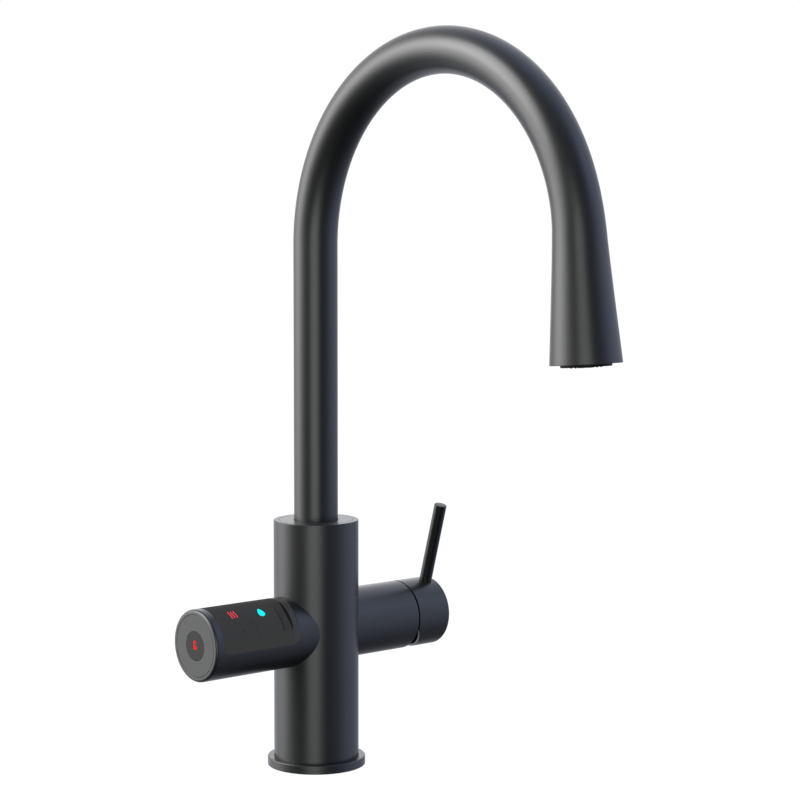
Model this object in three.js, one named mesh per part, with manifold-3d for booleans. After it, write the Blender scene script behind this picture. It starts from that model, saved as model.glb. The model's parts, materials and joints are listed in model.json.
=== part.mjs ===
// Boiling water tap with a swivelling gooseneck, a touch control pod on one side
// and a single-lever mixer on the other.
// Millimetres, +Z up. The origin is on the column's axis, at the underside of the base flange.
// The spout reaches towards -Y, the user. The control pod points to -X and the mixer lever to +X.

import * as THREE from "three";
import { mergeVertices } from "three/addons/utils/BufferGeometryUtils.js";
import Module from "manifold-3d";

const wasm = await Module();
wasm.setup();

// ---------------------------------------------------------------- driving dimensions

const CLEARANCE = 0.3; // between two pieces that seat on each other
const DEGREE = Math.PI / 180;

const COLUMN_RADIUS = 24.45;
const COLUMN_WALL = 3;
const COLUMN_TOP = 142.8;
const FLANGE_RADIUS = 28.25;
const FLANGE_HEIGHT = 5.05;
const FLANGE_FLOOR = 2.2; // thickness of the flange under the column
const SOCKET_RADIUS = 15.25; // for a shank of 30 mm
const SOCKET_CEILING = 13;
const CROSS_HEIGHT = 79.9; // axis of the pod and of the lever

const SPOUT_RADIUS = 12.5;
const SPOUT_WALL = 1.5;
const SPOUT_BOTTOM = 104;
const ARC_START = 300.3;
const ARC_RADIUS = 105.03;
const ARC_SWEEP = 175.2 * DEGREE;
const OUTLET_LENGTH = 64.65; // straight run after the arc
const OUTLET_RADIUS = 18.36;
const TAPER_LENGTH = 76.5; // the tube widens over this last stretch
const OUTLET_BORE = 13.3;
const OUTLET_SEAT_DEPTH = 10;
const NOZZLES = 8; // round the outlet, with the boiling water's own in the middle
const NOZZLE_ORBIT = 7;
const BOIL_NOZZLE_BORE = 2.4;

const SOCKET_BOTTOM = 98; // brass socket that the spout turns in
const SOCKET_FLOOR = 4;
const SWIVEL_BORE = SPOUT_RADIUS + 2.1;
const SWIVEL_LIMIT = 60; // degrees each way
const CAP_DEPTH = 4.4; // of the ring in the column's top
const CLIP_BOTTOM = 136.4;
const CLIP_TOP = 137.8;
const CLIP_INNER = 12.2;
const CLIP_OUTER = 15;
const STOP_PIN_RADIUS = 0.9;
const STOP_PIN_ORBIT = 13.7;

const PIPE_WALL = 1;
const PIPE_START = SOCKET_CEILING + 0.4;
const BOIL_PIPE_RADIUS = 3.2;
const SWIVEL_SPLIT = 110; // where the fixed boiling pipe meets the turning one
const FEED_PIPE_RADIUS = 4;
const FEED_PIPE_TOP = 71.5;
const FEED_PIPE_X = 12;
const FEED_PIPES = [
  ["hot_feed_pipe", -8],
  ["cold_feed_pipe", 8],
];
const MIXED_PIPE_RADIUS = 3.5;
const MIXED_PIPE_BOTTOM = 88.5;
const MIXED_PIPE_TOP = 101.5;
const MIXED_PIPE_X = 9.5;

const LEVER_RADIUS = 20.05;
const LEVER_BORE = 17;
const LEVER_GAP_START = 62; // end of the fixed housing
const LEVER_GAP_END = 62.8; // start of the turning hub
const LEVER_END = 86.05;
const LEVER_ANGLE = 16 * DEGREE; // the rod leans this far towards the user
const RELIEF_ANGLE = 22 * DEGREE; // cut on the hub's inner edge, for the tilt
const ROD_STATION = 79.45;
const ROD_RADIUS = 3.67;
const ROD_TOP = 68.8;
const ROD_SHANK_RADIUS = 2.6; // the thin end inside the hub
const ROD_SHANK_BOTTOM = 8.8;
const HUB_BOSS_RADIUS = 7.5;
const HUB_BOSS_START = 66.5;
const HUB_SOLID_START = 74.6;
const GRUB_STATION = 75.9;
const GRUB_RADIUS = 2.7;

const SEAT_RADIUS = 16.6; // mixing block in the lever's housing
const SEAT_START = 5;
const SEAT_END = 52;
const CUP_FLOOR = 26.3;
const CARTRIDGE_RADIUS = 14;
const CARTRIDGE_CAVITY = 11.6;
const CARTRIDGE_START = 28.1;
const CARTRIDGE_FLOOR = 30.4;
const SHOULDER = 50; // where the cartridge narrows to its neck
const NECK_RADIUS = 11.2;
const NECK_BORE = 9.3;
const NECK_END = 60;
const PORT_RADIUS = 2.4;
const PORTS = [
  [-6.4, -5.9], // hot
  [6.4, -5.9], // cold
  [0, 8.5], // mixed
];
const TILT_PIVOT = 56;
const PIVOT_PIN_RADIUS = 1.2;
const STEM_WIDTH = 6;
const STEM_HEIGHT = 7;
const STEM_START = 48;
const STEM_END = 78;
const STEM_TIP = 44; // centre of the ball that drives the sliding disc
const DISC_RADIUS = 9; // of the sliding disc
const DISC_OFFSET = 2.05; // half of the sliding disc's travel

const POD_RADIUS = 20.3;
const POD_BORE = 17.9;
const POD_END = 85.05;
const PANEL_START = 28;
const PANEL_END = 80.9;
const PANEL_BACK_ANGLE = -30; // degrees from the top, positive towards the user
const PANEL_FRONT_ANGLE = 99;
const PANEL_MID_ANGLE = (PANEL_BACK_ANGLE + PANEL_FRONT_ANGLE) / 2;
const PANEL_CORNER = 3.5;
const PANEL_INNER = 18.6;
const SLIT_START = 32; // undercut end of the finger recess
const SLIT_END = 33.5;
const RAMP_END = 38.7;
const STEAM_ICON_STATION = 68.2;
const DROP_ICON_STATION = 49.4;
const CARRIER_OUTER = POD_BORE - CLEARANCE;
const CARRIER_INNER = 15.6;
const CARRIER_START = 33.6;
const CARRIER_END = 79.4;
const BOARD_WIDTH = 23;
const BOARD_LEVEL = 9.4; // face of the board towards the panel
const BOARD_THICKNESS = 1.6;
const BOARD_START = 35;
const BOARD_END = 73;
const SCREW_STATIONS = [
  ["board_screw_inner", 38.5],
  ["board_screw_outer", 58.2],
];
const STUB_RADIUS = 8.9; // hollow bolt that holds the pod to the column
const STUB_BORE = 6.4;
const WEB_START = 25.1; // wall of the pod that the bolt's nut clamps
const WEB_END = 27.2;
const CAP_FACE = 85.35;
const CAP_THICKNESS = 3;
const BUTTON_RADIUS = 8.35;
const BUTTON_FLANGE = 9.8;
const BUTTON_TRAVEL = 0.8;
const BUTTON_BACK = CAP_FACE - 5;
const END_BOARD_FACE = 76.65;

const ROUND = 36; // facets of the large turned pieces
const INNER_ROUND = 24; // facets of those inside
const SMALL_ROUND = 12; // facets of bars and pipes
const SPOUT_SIDES = 26;
const ARC_STEPS = 26; // rings of the gooseneck round its arc

// ---------------------------------------------------------------- materials

const finish = (color, roughness, metalness) =>
  new THREE.MeshStandardMaterial({ color, roughness, metalness });

const MATT_BLACK = () => finish(0x17181a, 0.42, 0.6);
const BRASS = () => finish(0xb5914e, 0.35, 1);
const STEEL = () => finish(0xb9bcc0, 0.3, 1);
const RUBBER = () => finish(0x141414, 0.85, 0);
const BEARING_PLASTIC = () => finish(0xd8d6cc, 0.5, 0);
const DARK_PLASTIC = () => finish(0x1c1c1e, 0.5, 0);
const GLOSS_PANEL = () => finish(0x242526, 0.25, 0);
const CERAMIC = () => finish(0xf0eee8, 0.2, 0);
const BOARD_GREEN = () => finish(0x1f5b34, 0.6, 0);
const CLEAR_PLASTIC = () => finish(0xdfe7ea, 0.1, 0);

// ---------------------------------------------------------------- solids

// A closed geometry as a solid that can be cut and joined. Its faces may run either way.
function solid(geometry) {
  const bare = geometry.clone();
  bare.deleteAttribute("normal");
  bare.deleteAttribute("uv");
  const merged = mergeVertices(bare, 1e-4);
  const corners = merged.index.array;
  const forward = [];
  const reversed = [];
  for (let i = 0; i < corners.length; i += 3) {
    const [a, b, c] = [corners[i], corners[i + 1], corners[i + 2]];
    if (a === b || b === c || c === a) continue;
    forward.push(a, b, c);
    reversed.push(a, c, b);
  }
  const build = (faces) =>
    new wasm.Manifold(
      new wasm.Mesh({
        numProp: 3,
        vertProperties: merged.attributes.position.array,
        triVerts: new Uint32Array(faces),
      }),
    );
  const made = build(forward);
  return made.volume() < 0 ? build(reversed) : made;
}

const cut = (blank, ...tools) =>
  tools.reduce((rest, tool) => rest.subtract(solid(tool)), solid(blank));

const join = (...pieces) =>
  pieces.slice(1).reduce((whole, piece) => whole.add(solid(piece)), solid(pieces[0]));

const cutFrom = (blank, ...tools) => tools.reduce((rest, tool) => rest.subtract(solid(tool)), blank);

function toGeometry(made) {
  const { numProp, vertProperties, triVerts } = made.getMesh();
  const positions = [];
  for (let i = 0; i < vertProperties.length; i += numProp) {
    positions.push(vertProperties[i], vertProperties[i + 1], vertProperties[i + 2]);
  }
  const geometry = new THREE.BufferGeometry();
  geometry.setAttribute("position", new THREE.Float32BufferAttribute(positions, 3));
  geometry.setIndex(Array.from(triVerts));
  geometry.computeVertexNormals();
  return geometry;
}

// Names a solid and puts it in its group.
function place(group, name, made, material) {
  const mesh = new THREE.Mesh(toGeometry(made), material);
  mesh.name = name;
  group.add(mesh);
  return mesh;
}

// ---------------------------------------------------------------- shapes

// Turned about Z from [radius, height] points. A profile off the axis closes on itself.
function turned(profile, sides = ROUND) {
  const points = profile.map(([radius, height]) => new THREE.Vector2(radius, height));
  const [first, last] = [points[0], points[points.length - 1]];
  if (first.x > 0 || last.x > 0) points.push(first.clone());
  return new THREE.LatheGeometry(points, sides).rotateX(Math.PI / 2);
}

const ring = (inner, outer, bottom, top, sides = ROUND) =>
  turned([[inner, bottom], [outer, bottom], [outer, top], [inner, top]], sides);

const bar = (radius, bottom, top, sides = SMALL_ROUND) =>
  new THREE.CylinderGeometry(radius, radius, top - bottom, sides)
    .rotateX(Math.PI / 2)
    .translate(0, 0, (bottom + top) / 2);

// A bar that runs along Y instead, such as the column seen from an arm.
const uprightBar = (radius, bottom, top, sides = ROUND) =>
  new THREE.CylinderGeometry(radius, radius, top - bottom, sides).translate(0, (bottom + top) / 2, 0);

// A bar that runs along X from one place to another.
const crossBar = (radius, from, to, sides = SMALL_ROUND) =>
  new THREE.CylinderGeometry(radius, radius, to - from, sides)
    .rotateZ(Math.PI / 2)
    .translate((from + to) / 2, 0, 0);

const block = (width, depth, height) => new THREE.BoxGeometry(width, depth, height);

const oRing = (centreRadius, thickness, height) =>
  new THREE.TorusGeometry(centreRadius, thickness / 2, 6, 20).translate(0, 0, height);

// Corner of a turned profile, rounded between two directions given in degrees.
function roundedCorner(radius, height, fillet, from, to, steps = 3) {
  return Array.from({ length: steps + 1 }, (_, i) => {
    const angle = (from + ((to - from) * i) / steps) * DEGREE;
    return [radius + fillet * Math.cos(angle), height + fillet * Math.sin(angle)];
  });
}

// A closed skin over a row of sections, each a list of the same number of points.
function loft(sections) {
  const count = sections[0].length;
  const positions = sections.flat().flatMap((point) => point.toArray());
  const faces = [];
  for (let s = 0; s + 1 < sections.length; s++) {
    for (let i = 0; i < count; i++) {
      const [a, b] = [s * count + i, s * count + ((i + 1) % count)];
      faces.push(a, b, a + count, b, b + count, a + count);
    }
  }
  const last = (sections.length - 1) * count;
  const flat = THREE.ShapeUtils.triangulateShape(capOutline(sections[0]), []);
  const flatEnd = THREE.ShapeUtils.triangulateShape(capOutline(sections[sections.length - 1]), []);
  flat.forEach(([a, b, c]) => faces.push(a, c, b));
  flatEnd.forEach(([a, b, c]) => faces.push(last + a, last + b, last + c));
  const geometry = new THREE.BufferGeometry();
  geometry.setAttribute("position", new THREE.Float32BufferAttribute(positions, 3));
  geometry.setIndex(faces);
  return geometry;
}

// A flat section's points in its own plane, running anticlockwise about the loft's direction.
function capOutline(section) {
  const centre = section
    .reduce((sum, point) => sum.add(point), new THREE.Vector3())
    .divideScalar(section.length);
  const normal = new THREE.Vector3();
  section.forEach((point, i) => {
    const next = section[(i + 1) % section.length];
    normal.add(point.clone().sub(centre).cross(next.clone().sub(centre)));
  });
  normal.normalize();
  const across = section[0].clone().sub(centre).normalize();
  const along = normal.clone().cross(across);
  return section.map((point) => {
    const offset = point.clone().sub(centre);
    return new THREE.Vector2(offset.dot(across), offset.dot(along));
  });
}

// Sweeps [radius, station] sections round Z, from one angle to another. Angles are in degrees
// from +Y towards +X, which on the pod is from the top towards the user.
function sweptAround(sectionAt, angles) {
  return loft(
    angles.map((degrees) => {
      const [sine, cosine] = [Math.sin(degrees * DEGREE), Math.cos(degrees * DEGREE)];
      return sectionAt(degrees).map(
        ([radius, station]) => new THREE.Vector3(radius * sine, radius * cosine, station),
      );
    }),
  );
}

// A curved plate with rounded corners, wrapped round Z.
function wrappedPlate({ inner, outer, from, to, start, end, corner, facet = 7 }) {
  const cornerAngle = corner / outer / DEGREE;
  const fractions = [0, 0.15, 0.45, 1];
  const rounded = fractions.map((fraction) => from + cornerAngle * fraction);
  const facets = Math.ceil((to - from - 2 * cornerAngle) / facet);
  const middle = Array.from(
    { length: facets - 1 },
    (_, i) => from + cornerAngle + ((to - from - 2 * cornerAngle) * (i + 1)) / facets,
  );
  const mirrored = rounded.map((angle) => from + to - angle).reverse();
  const inset = (angle) => {
    const edge = Math.min(angle - from, to - angle) / cornerAngle;
    return edge >= 1 ? 0 : corner * (1 - Math.sqrt(Math.max(0, 1 - (1 - edge) ** 2)));
  };
  return sweptAround(
    (angle) => [
      [inner, start + inset(angle)],
      [outer, start + inset(angle)],
      [outer, end - inset(angle)],
      [inner, end - inset(angle)],
    ],
    [...rounded, ...middle, ...mirrored],
  );
}

// ---------------------------------------------------------------- gooseneck

// Centreline of the spout: up the column's axis, round the arc and down to the outlet.
class Gooseneck extends THREE.Curve {
  constructor(bottom, tail = OUTLET_LENGTH) {
    super();
    this.bottom = bottom;
    this.rise = ARC_START - bottom;
    this.bend = ARC_RADIUS * ARC_SWEEP;
    this.total = this.rise + this.bend + tail;
  }

  // Point and direction at a distance along the centreline.
  at(distance) {
    const angle = THREE.MathUtils.clamp((distance - this.rise) / ARC_RADIUS, 0, ARC_SWEEP);
    const tangent = new THREE.Vector3(0, -Math.sin(angle), Math.cos(angle));
    const straight = distance - this.rise - ARC_RADIUS * angle;
    const point = new THREE.Vector3(
      0,
      -ARC_RADIUS * (1 - Math.cos(angle)),
      ARC_START + ARC_RADIUS * Math.sin(angle),
    ).addScaledVector(tangent, straight);
    return { point, tangent };
  }

  getPoint(t, target = new THREE.Vector3()) {
    return target.copy(this.at(t * this.total).point);
  }

  // Distances at which the skin needs a ring: few on the straights, many round the arc.
  stations(arcSteps) {
    const taperStart = this.total - TAPER_LENGTH;
    const steps = Array.from({ length: arcSteps }, (_, i) => this.rise + (this.bend * i) / arcSteps);
    const arc = steps.filter((distance) => distance < taperStart - 2);
    return [0, ...arc, taperStart, this.rise + this.bend, this.total - 30, this.total];
  }
}

// Round skin along the gooseneck, with its radius given by the distance along it.
function gooseneckSkin(path, arcSteps, sides, radiusAt) {
  const across = new THREE.Vector3(1, 0, 0);
  return loft(
    path.stations(arcSteps).map((distance) => {
      const { point, tangent } = path.at(distance);
      const up = new THREE.Vector3().crossVectors(tangent, across);
      return Array.from({ length: sides }, (_, i) => {
        const angle = (2 * Math.PI * i) / sides;
        return point
          .clone()
          .addScaledVector(across, radiusAt(distance) * Math.cos(angle))
          .addScaledVector(up, radiusAt(distance) * Math.sin(angle));
      });
    }),
  );
}

// Frame of the outlet: Z points out of the spout, along the water, and X stays across.
function outletFrame() {
  const path = new Gooseneck(SPOUT_BOTTOM);
  const { point, tangent } = path.at(path.total);
  const across = new THREE.Vector3(1, 0, 0);
  const away = new THREE.Vector3().crossVectors(tangent, across);
  return new THREE.Matrix4().makeBasis(across, away, tangent).setPosition(point);
}

const OUTLET_FRAME = outletFrame();

// Share of the taper reached at a distance along the centreline, from 0 to 1.
const taperShare = (path, distance) =>
  THREE.MathUtils.clamp((distance - (path.total - TAPER_LENGTH)) / TAPER_LENGTH, 0, 1);

// ---------------------------------------------------------------- base and column

function addBase(tap) {
  const seat = COLUMN_RADIUS + CLEARANCE;
  const bore = COLUMN_RADIUS - COLUMN_WALL + 0.55;
  const [grooveInner, grooveOuter, grooveDepth] = [24.9, 27.1, 1.8];
  const [plateBottom, plateTop] = [0.8, 16];
  const chamfer = 0.6;
  const flange = turned([
    [bore, 0],
    [grooveInner, 0],
    [grooveInner, grooveDepth],
    [grooveOuter, grooveDepth],
    [grooveOuter, 0],
    [FLANGE_RADIUS, 0],
    [FLANGE_RADIUS, FLANGE_HEIGHT - chamfer],
    [FLANGE_RADIUS - chamfer, FLANGE_HEIGHT],
    [seat, FLANGE_HEIGHT],
    [seat, FLANGE_FLOOR],
    [bore, FLANGE_FLOOR],
  ]);
  place(tap, "base_flange", solid(flange), MATT_BLACK());

  const seal = ring(
    grooveInner + CLEARANCE,
    grooveOuter - CLEARANCE,
    0,
    grooveDepth - CLEARANCE,
    INNER_ROUND,
  );
  place(tap, "base_seal", solid(seal), RUBBER());

  // An upturned cup that closes the column. The shank screws into it, and the pipes come out.
  const cup = turned(
    [
      [0, SOCKET_CEILING],
      [SOCKET_RADIUS, SOCKET_CEILING],
      [SOCKET_RADIUS, plateBottom],
      [COLUMN_RADIUS - COLUMN_WALL - CLEARANCE, plateBottom],
      [COLUMN_RADIUS - COLUMN_WALL - CLEARANCE, plateTop],
      [0, plateTop],
    ],
    INNER_ROUND,
  );
  const [holeBottom, holeTop] = [SOCKET_CEILING - 1, plateTop + 1];
  const holes = [
    pipeAt(BOIL_PIPE_RADIUS + CLEARANCE, 0, 0, holeBottom, holeTop),
    ...FEED_PIPES.map(([, y]) =>
      pipeAt(FEED_PIPE_RADIUS + CLEARANCE, FEED_PIPE_X, y, holeBottom, holeTop),
    ),
  ];
  place(tap, "base_plate", cut(cup, ...holes), BRASS());
}

function addColumn(tap) {
  const inner = COLUMN_RADIUS - COLUMN_WALL;
  const chamfer = 0.5;
  const tube = turned([
    [inner, FLANGE_FLOOR + CLEARANCE],
    [COLUMN_RADIUS, FLANGE_FLOOR + CLEARANCE],
    [COLUMN_RADIUS, COLUMN_TOP - chamfer],
    [COLUMN_RADIUS - chamfer, COLUMN_TOP],
    [inner, COLUMN_TOP],
  ]);
  const leverHole = crossBar(LEVER_BORE, 0, 30, INNER_ROUND).translate(0, 0, CROSS_HEIGHT);
  const podHole = crossBar(STUB_RADIUS + 0.4, -30, 0).translate(0, 0, CROSS_HEIGHT);
  place(tap, "body_column", cut(tube, leverHole, podHole), MATT_BLACK());

  const [capBottom, capEdge] = [COLUMN_TOP - CAP_DEPTH, 0.4];
  const [capInner, capOuter] = [SPOUT_RADIUS + 0.4, inner - CLEARANCE];
  const cap = turned([
    [capInner, capBottom],
    [capOuter, capBottom],
    [capOuter, COLUMN_TOP - capEdge],
    [capOuter - capEdge, COLUMN_TOP],
    [capInner, COLUMN_TOP],
  ]);
  const pinHole = bar(STOP_PIN_RADIUS + CLEARANCE, capBottom - 1, capBottom + 2.6, 12);
  pinHole.translate(0, STOP_PIN_ORBIT, 0);
  place(tap, "body_cap", cut(cap, pinHole), MATT_BLACK());
}

// ---------------------------------------------------------------- pipes inside the column

const pipeAt = (radius, x, y, bottom, top) => bar(radius, bottom, top, SMALL_ROUND).translate(x, y, 0);

// An open pipe that stands at a place.
const openPipe = (radius, x, y, bottom, top) =>
  cut(pipeAt(radius, x, y, bottom, top), pipeAt(radius - PIPE_WALL, x, y, bottom - 1, top + 1));

function addPipes(tap) {
  FEED_PIPES.forEach(([name, y]) => {
    const feed = openPipe(FEED_PIPE_RADIUS, FEED_PIPE_X, y, PIPE_START, FEED_PIPE_TOP);
    place(tap, name, feed, STEEL());
  });
  const mixed = openPipe(MIXED_PIPE_RADIUS, MIXED_PIPE_X, 0, MIXED_PIPE_BOTTOM, MIXED_PIPE_TOP);
  place(tap, "mixed_riser", mixed, STEEL());
  const riser = openPipe(BOIL_PIPE_RADIUS, 0, 0, PIPE_START, SWIVEL_SPLIT - CLEARANCE);
  place(tap, "boil_riser", riser, STEEL());

  const [sleeveOuter, sleeveBottom, sleeveTop] = [6, 103, 118];
  const sleeve = ring(BOIL_PIPE_RADIUS + CLEARANCE, sleeveOuter, sleeveBottom, sleeveTop, SMALL_ROUND);
  place(tap, "boil_swivel_sleeve", solid(sleeve), BEARING_PLASTIC());
}

// ---------------------------------------------------------------- spout and its swivel

function addSwivelSocket(tap) {
  const outer = COLUMN_RADIUS - COLUMN_WALL - CLEARANCE;
  const top = COLUMN_TOP - CAP_DEPTH - CLEARANCE;
  const floorTop = SOCKET_BOTTOM + SOCKET_FLOOR;
  const clipRecess = CLIP_OUTER + 0.5;
  const boilHole = BOIL_PIPE_RADIUS + CLEARANCE;
  const socket = turned(
    [
      [boilHole, SOCKET_BOTTOM],
      [outer, SOCKET_BOTTOM],
      [outer, top],
      [clipRecess, top],
      [clipRecess, CLIP_BOTTOM - CLEARANCE],
      [SWIVEL_BORE, CLIP_BOTTOM - CLEARANCE],
      [SWIVEL_BORE, floorTop],
      [boilHole, floorTop],
    ],
    INNER_ROUND,
  );
  const mixedHole = pipeAt(
    MIXED_PIPE_RADIUS + CLEARANCE,
    MIXED_PIPE_X,
    0,
    SOCKET_BOTTOM - 1,
    floorTop + 1,
  );
  place(tap, "spout_socket", cut(socket, mixedHole), BRASS());

  [
    ["spout_bearing_lower", 104, 109],
    ["spout_bearing_upper", 122, 132],
  ].forEach(([name, bottom, top]) => {
    const bearing = ring(SPOUT_RADIUS + CLEARANCE, SWIVEL_BORE - CLEARANCE, bottom, top, INNER_ROUND);
    place(tap, name, solid(bearing), BEARING_PLASTIC());
  });
  const [ringThickness, ringMiddle] = [1.5, (SPOUT_RADIUS + SWIVEL_BORE) / 2];
  [
    ["spout_o_ring_lower", 112.5],
    ["spout_o_ring_upper", 118],
  ].forEach(([name, height]) => {
    place(tap, name, solid(oRing(ringMiddle, ringThickness, height)), RUBBER());
  });

  const pin = bar(STOP_PIN_RADIUS, CLIP_BOTTOM + 0.1, COLUMN_TOP - 2.2);
  place(tap, "swivel_stop_pin", solid(pin.translate(0, STOP_PIN_ORBIT, 0)), STEEL());
}

function addSpout(tap) {
  const path = new Gooseneck(SPOUT_BOTTOM);
  const outside = gooseneckSkin(path, ARC_STEPS, SPOUT_SIDES, (distance) =>
    THREE.MathUtils.lerp(SPOUT_RADIUS, OUTLET_RADIUS, taperShare(path, distance)),
  );
  const hollow = new Gooseneck(SPOUT_BOTTOM - 1, OUTLET_LENGTH + 1);
  const inside = gooseneckSkin(hollow, 18, 14, (distance) =>
    THREE.MathUtils.lerp(SPOUT_RADIUS - SPOUT_WALL, OUTLET_BORE, taperShare(hollow, distance)),
  );
  const clipGroove = ring(
    CLIP_INNER - CLEARANCE,
    SPOUT_RADIUS + 1,
    CLIP_BOTTOM - CLEARANCE,
    CLIP_TOP + CLEARANCE,
    SPOUT_SIDES,
  );
  const outletSeat = bar(OUTLET_BORE, -OUTLET_SEAT_DEPTH, 5, SPOUT_SIDES).applyMatrix4(OUTLET_FRAME);
  place(tap, "spout_tube", cut(outside, inside, clipGroove, outletSeat), MATT_BLACK());

  // The open side of the clip faces the stop pin, whose sides its two ends strike.
  const pinAngle = Math.asin((STOP_PIN_RADIUS + CLEARANCE) / STOP_PIN_ORBIT) / DEGREE;
  const opening = SWIVEL_LIMIT + pinAngle;
  const clip = sweptAround(
    () => [
      [CLIP_INNER, CLIP_BOTTOM],
      [CLIP_OUTER, CLIP_BOTTOM],
      [CLIP_OUTER, CLIP_TOP],
      [CLIP_INNER, CLIP_TOP],
    ],
    Array.from({ length: 25 }, (_, i) => opening + ((360 - 2 * opening) * i) / 24),
  );
  place(tap, "spout_clip", solid(clip), STEEL());

  const boilPath = new Gooseneck(SWIVEL_SPLIT + CLEARANCE, OUTLET_LENGTH - 9);
  const section = new THREE.Shape().absarc(0, 0, BOIL_PIPE_RADIUS, 0, 2 * Math.PI);
  const boilTube = new THREE.ExtrudeGeometry(section, {
    steps: 34,
    curveSegments: 4,
    extrudePath: boilPath,
  });
  place(tap, "boil_tube", solid(boilTube), STEEL());
}

// The outlet's pieces, turned about its own axis.
function addOutlet(tap) {
  const outlet = new THREE.Group();
  outlet.applyMatrix4(OUTLET_FRAME);
  tap.add(outlet);

  const outer = OUTLET_BORE - CLEARANCE;
  const [proud, bottom, lip, chamfer] = [1.8, -11, 9.4, 0.5];
  const [shoulder, step, groove] = [-6.4, -8, 0.9]; // the ring narrows inside the tube
  const insert = turned(
    [
      [lip, bottom],
      [outer - 1.6, bottom],
      [outer - 1.6, step],
      [outer - groove, step],
      [outer - groove, shoulder],
      [outer, shoulder],
      [outer, proud - chamfer],
      [outer - chamfer, proud],
      [lip, proud],
    ],
    INNER_ROUND,
  );
  place(outlet, "outlet_insert", solid(insert), DARK_PLASTIC());
  place(outlet, "outlet_o_ring", solid(oRing(outer - 0.3, 0.7, step - 1)), RUBBER());

  const [plateBack, plateFace] = [-4, 0.9];
  const plate = turned(
    [
      [0, plateBack],
      [lip - CLEARANCE, plateBack],
      [lip - CLEARANCE, plateFace],
      [0, plateFace],
    ],
    INNER_ROUND,
  );
  const nozzles = Array.from({ length: NOZZLES }, (_, i) => {
    const angle = (2 * Math.PI * i) / NOZZLES;
    return new THREE.CylinderGeometry(0.95, 0.65, 2.6, 6)
      .rotateX(-Math.PI / 2)
      .translate(NOZZLE_ORBIT * Math.cos(angle), NOZZLE_ORBIT * Math.sin(angle), 1.2);
  });
  const [tubeSocket, nozzleOuter] = [BOIL_PIPE_RADIUS + CLEARANCE, 4.5];
  const [socketStart, socketEnd, nozzleTip] = [-12, -7, 2.1];
  const boilNozzle = turned(
    [
      [tubeSocket, socketStart],
      [nozzleOuter, socketStart],
      [nozzleOuter, nozzleTip],
      [BOIL_NOZZLE_BORE, nozzleTip],
      [BOIL_NOZZLE_BORE, socketEnd],
      [tubeSocket, socketEnd],
    ],
    SMALL_ROUND,
  );
  const drilled = cut(plate, bar(BOIL_NOZZLE_BORE, plateBack - 1, nozzleTip + 1));
  const withNozzles = [...nozzles, boilNozzle].reduce((made, piece) => made.add(solid(piece)), drilled);
  place(outlet, "nozzle_plate", withNozzles, RUBBER());
}

// ---------------------------------------------------------------- mixer lever arm

// In an arm's frame Z points away from the column and Y points up.
function armGroup(tap, outward, sideways) {
  const arm = new THREE.Group();
  const up = new THREE.Vector3(0, 0, 1);
  arm.position.set(0, 0, CROSS_HEIGHT);
  arm.quaternion.setFromRotationMatrix(new THREE.Matrix4().makeBasis(sideways, up, outward));
  tap.add(arm);
  return arm;
}

// The column's outside, from an arm: what a sleeve's saddle end is cut to.
const saddle = () => uprightBar(COLUMN_RADIUS + CLEARANCE, -40, 40);
const BEFORE_SADDLE = 8; // where a sleeve's blank starts, inside the column

function addLeverHousing(arm) {
  const edge = 1;
  const sleeve = turned([
    [LEVER_BORE, BEFORE_SADDLE],
    [LEVER_RADIUS, BEFORE_SADDLE],
    ...roundedCorner(LEVER_RADIUS - edge, LEVER_GAP_START - edge, edge, 0, 90),
    [LEVER_BORE, LEVER_GAP_START],
  ]);
  place(arm, "lever_housing", cut(sleeve, saddle()), MATT_BLACK());
}

// Mixing block: the two feeds enter from below, and mixed water leaves at the top.
function addCartridgeSeat(arm) {
  const cup = turned([
    [0, SEAT_START],
    [SEAT_RADIUS, SEAT_START],
    [SEAT_RADIUS, SEAT_END],
    [CARTRIDGE_RADIUS + CLEARANCE, SEAT_END],
    [CARTRIDGE_RADIUS + CLEARANCE, CUP_FLOOR],
    [0, CUP_FLOOR],
  ]);
  // An upright hole: across the arm at x, along the arm at z, from one height to another.
  const drill = (radius, x, z, bottom, top) =>
    uprightBar(radius, bottom - CROSS_HEIGHT, top - CROSS_HEIGHT, SMALL_ROUND).translate(x, 0, z);
  const feedHoles = FEED_PIPES.map(([, y]) =>
    drill(FEED_PIPE_RADIUS + CLEARANCE, y, FEED_PIPE_X, 50, FEED_PIPE_TOP + 0.5),
  );
  const mixedHole = drill(
    MIXED_PIPE_RADIUS + CLEARANCE,
    0,
    MIXED_PIPE_X,
    MIXED_PIPE_BOTTOM - 0.5,
    CROSS_HEIGHT + 2 * SEAT_RADIUS,
  );
  const channels = PORTS.map(([x, y]) =>
    bar(PORT_RADIUS + 0.1, y < 0 ? FEED_PIPE_X : MIXED_PIPE_X, CUP_FLOOR + 1).translate(x, y, 0),
  );
  place(arm, "cartridge_seat", cut(cup, ...feedHoles, mixedHole, ...channels), BRASS());
}

const portHoles = (radius, bottom, top) =>
  PORTS.map(([x, y]) => bar(radius, bottom, top, SMALL_ROUND).translate(x, y, 0));

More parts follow.
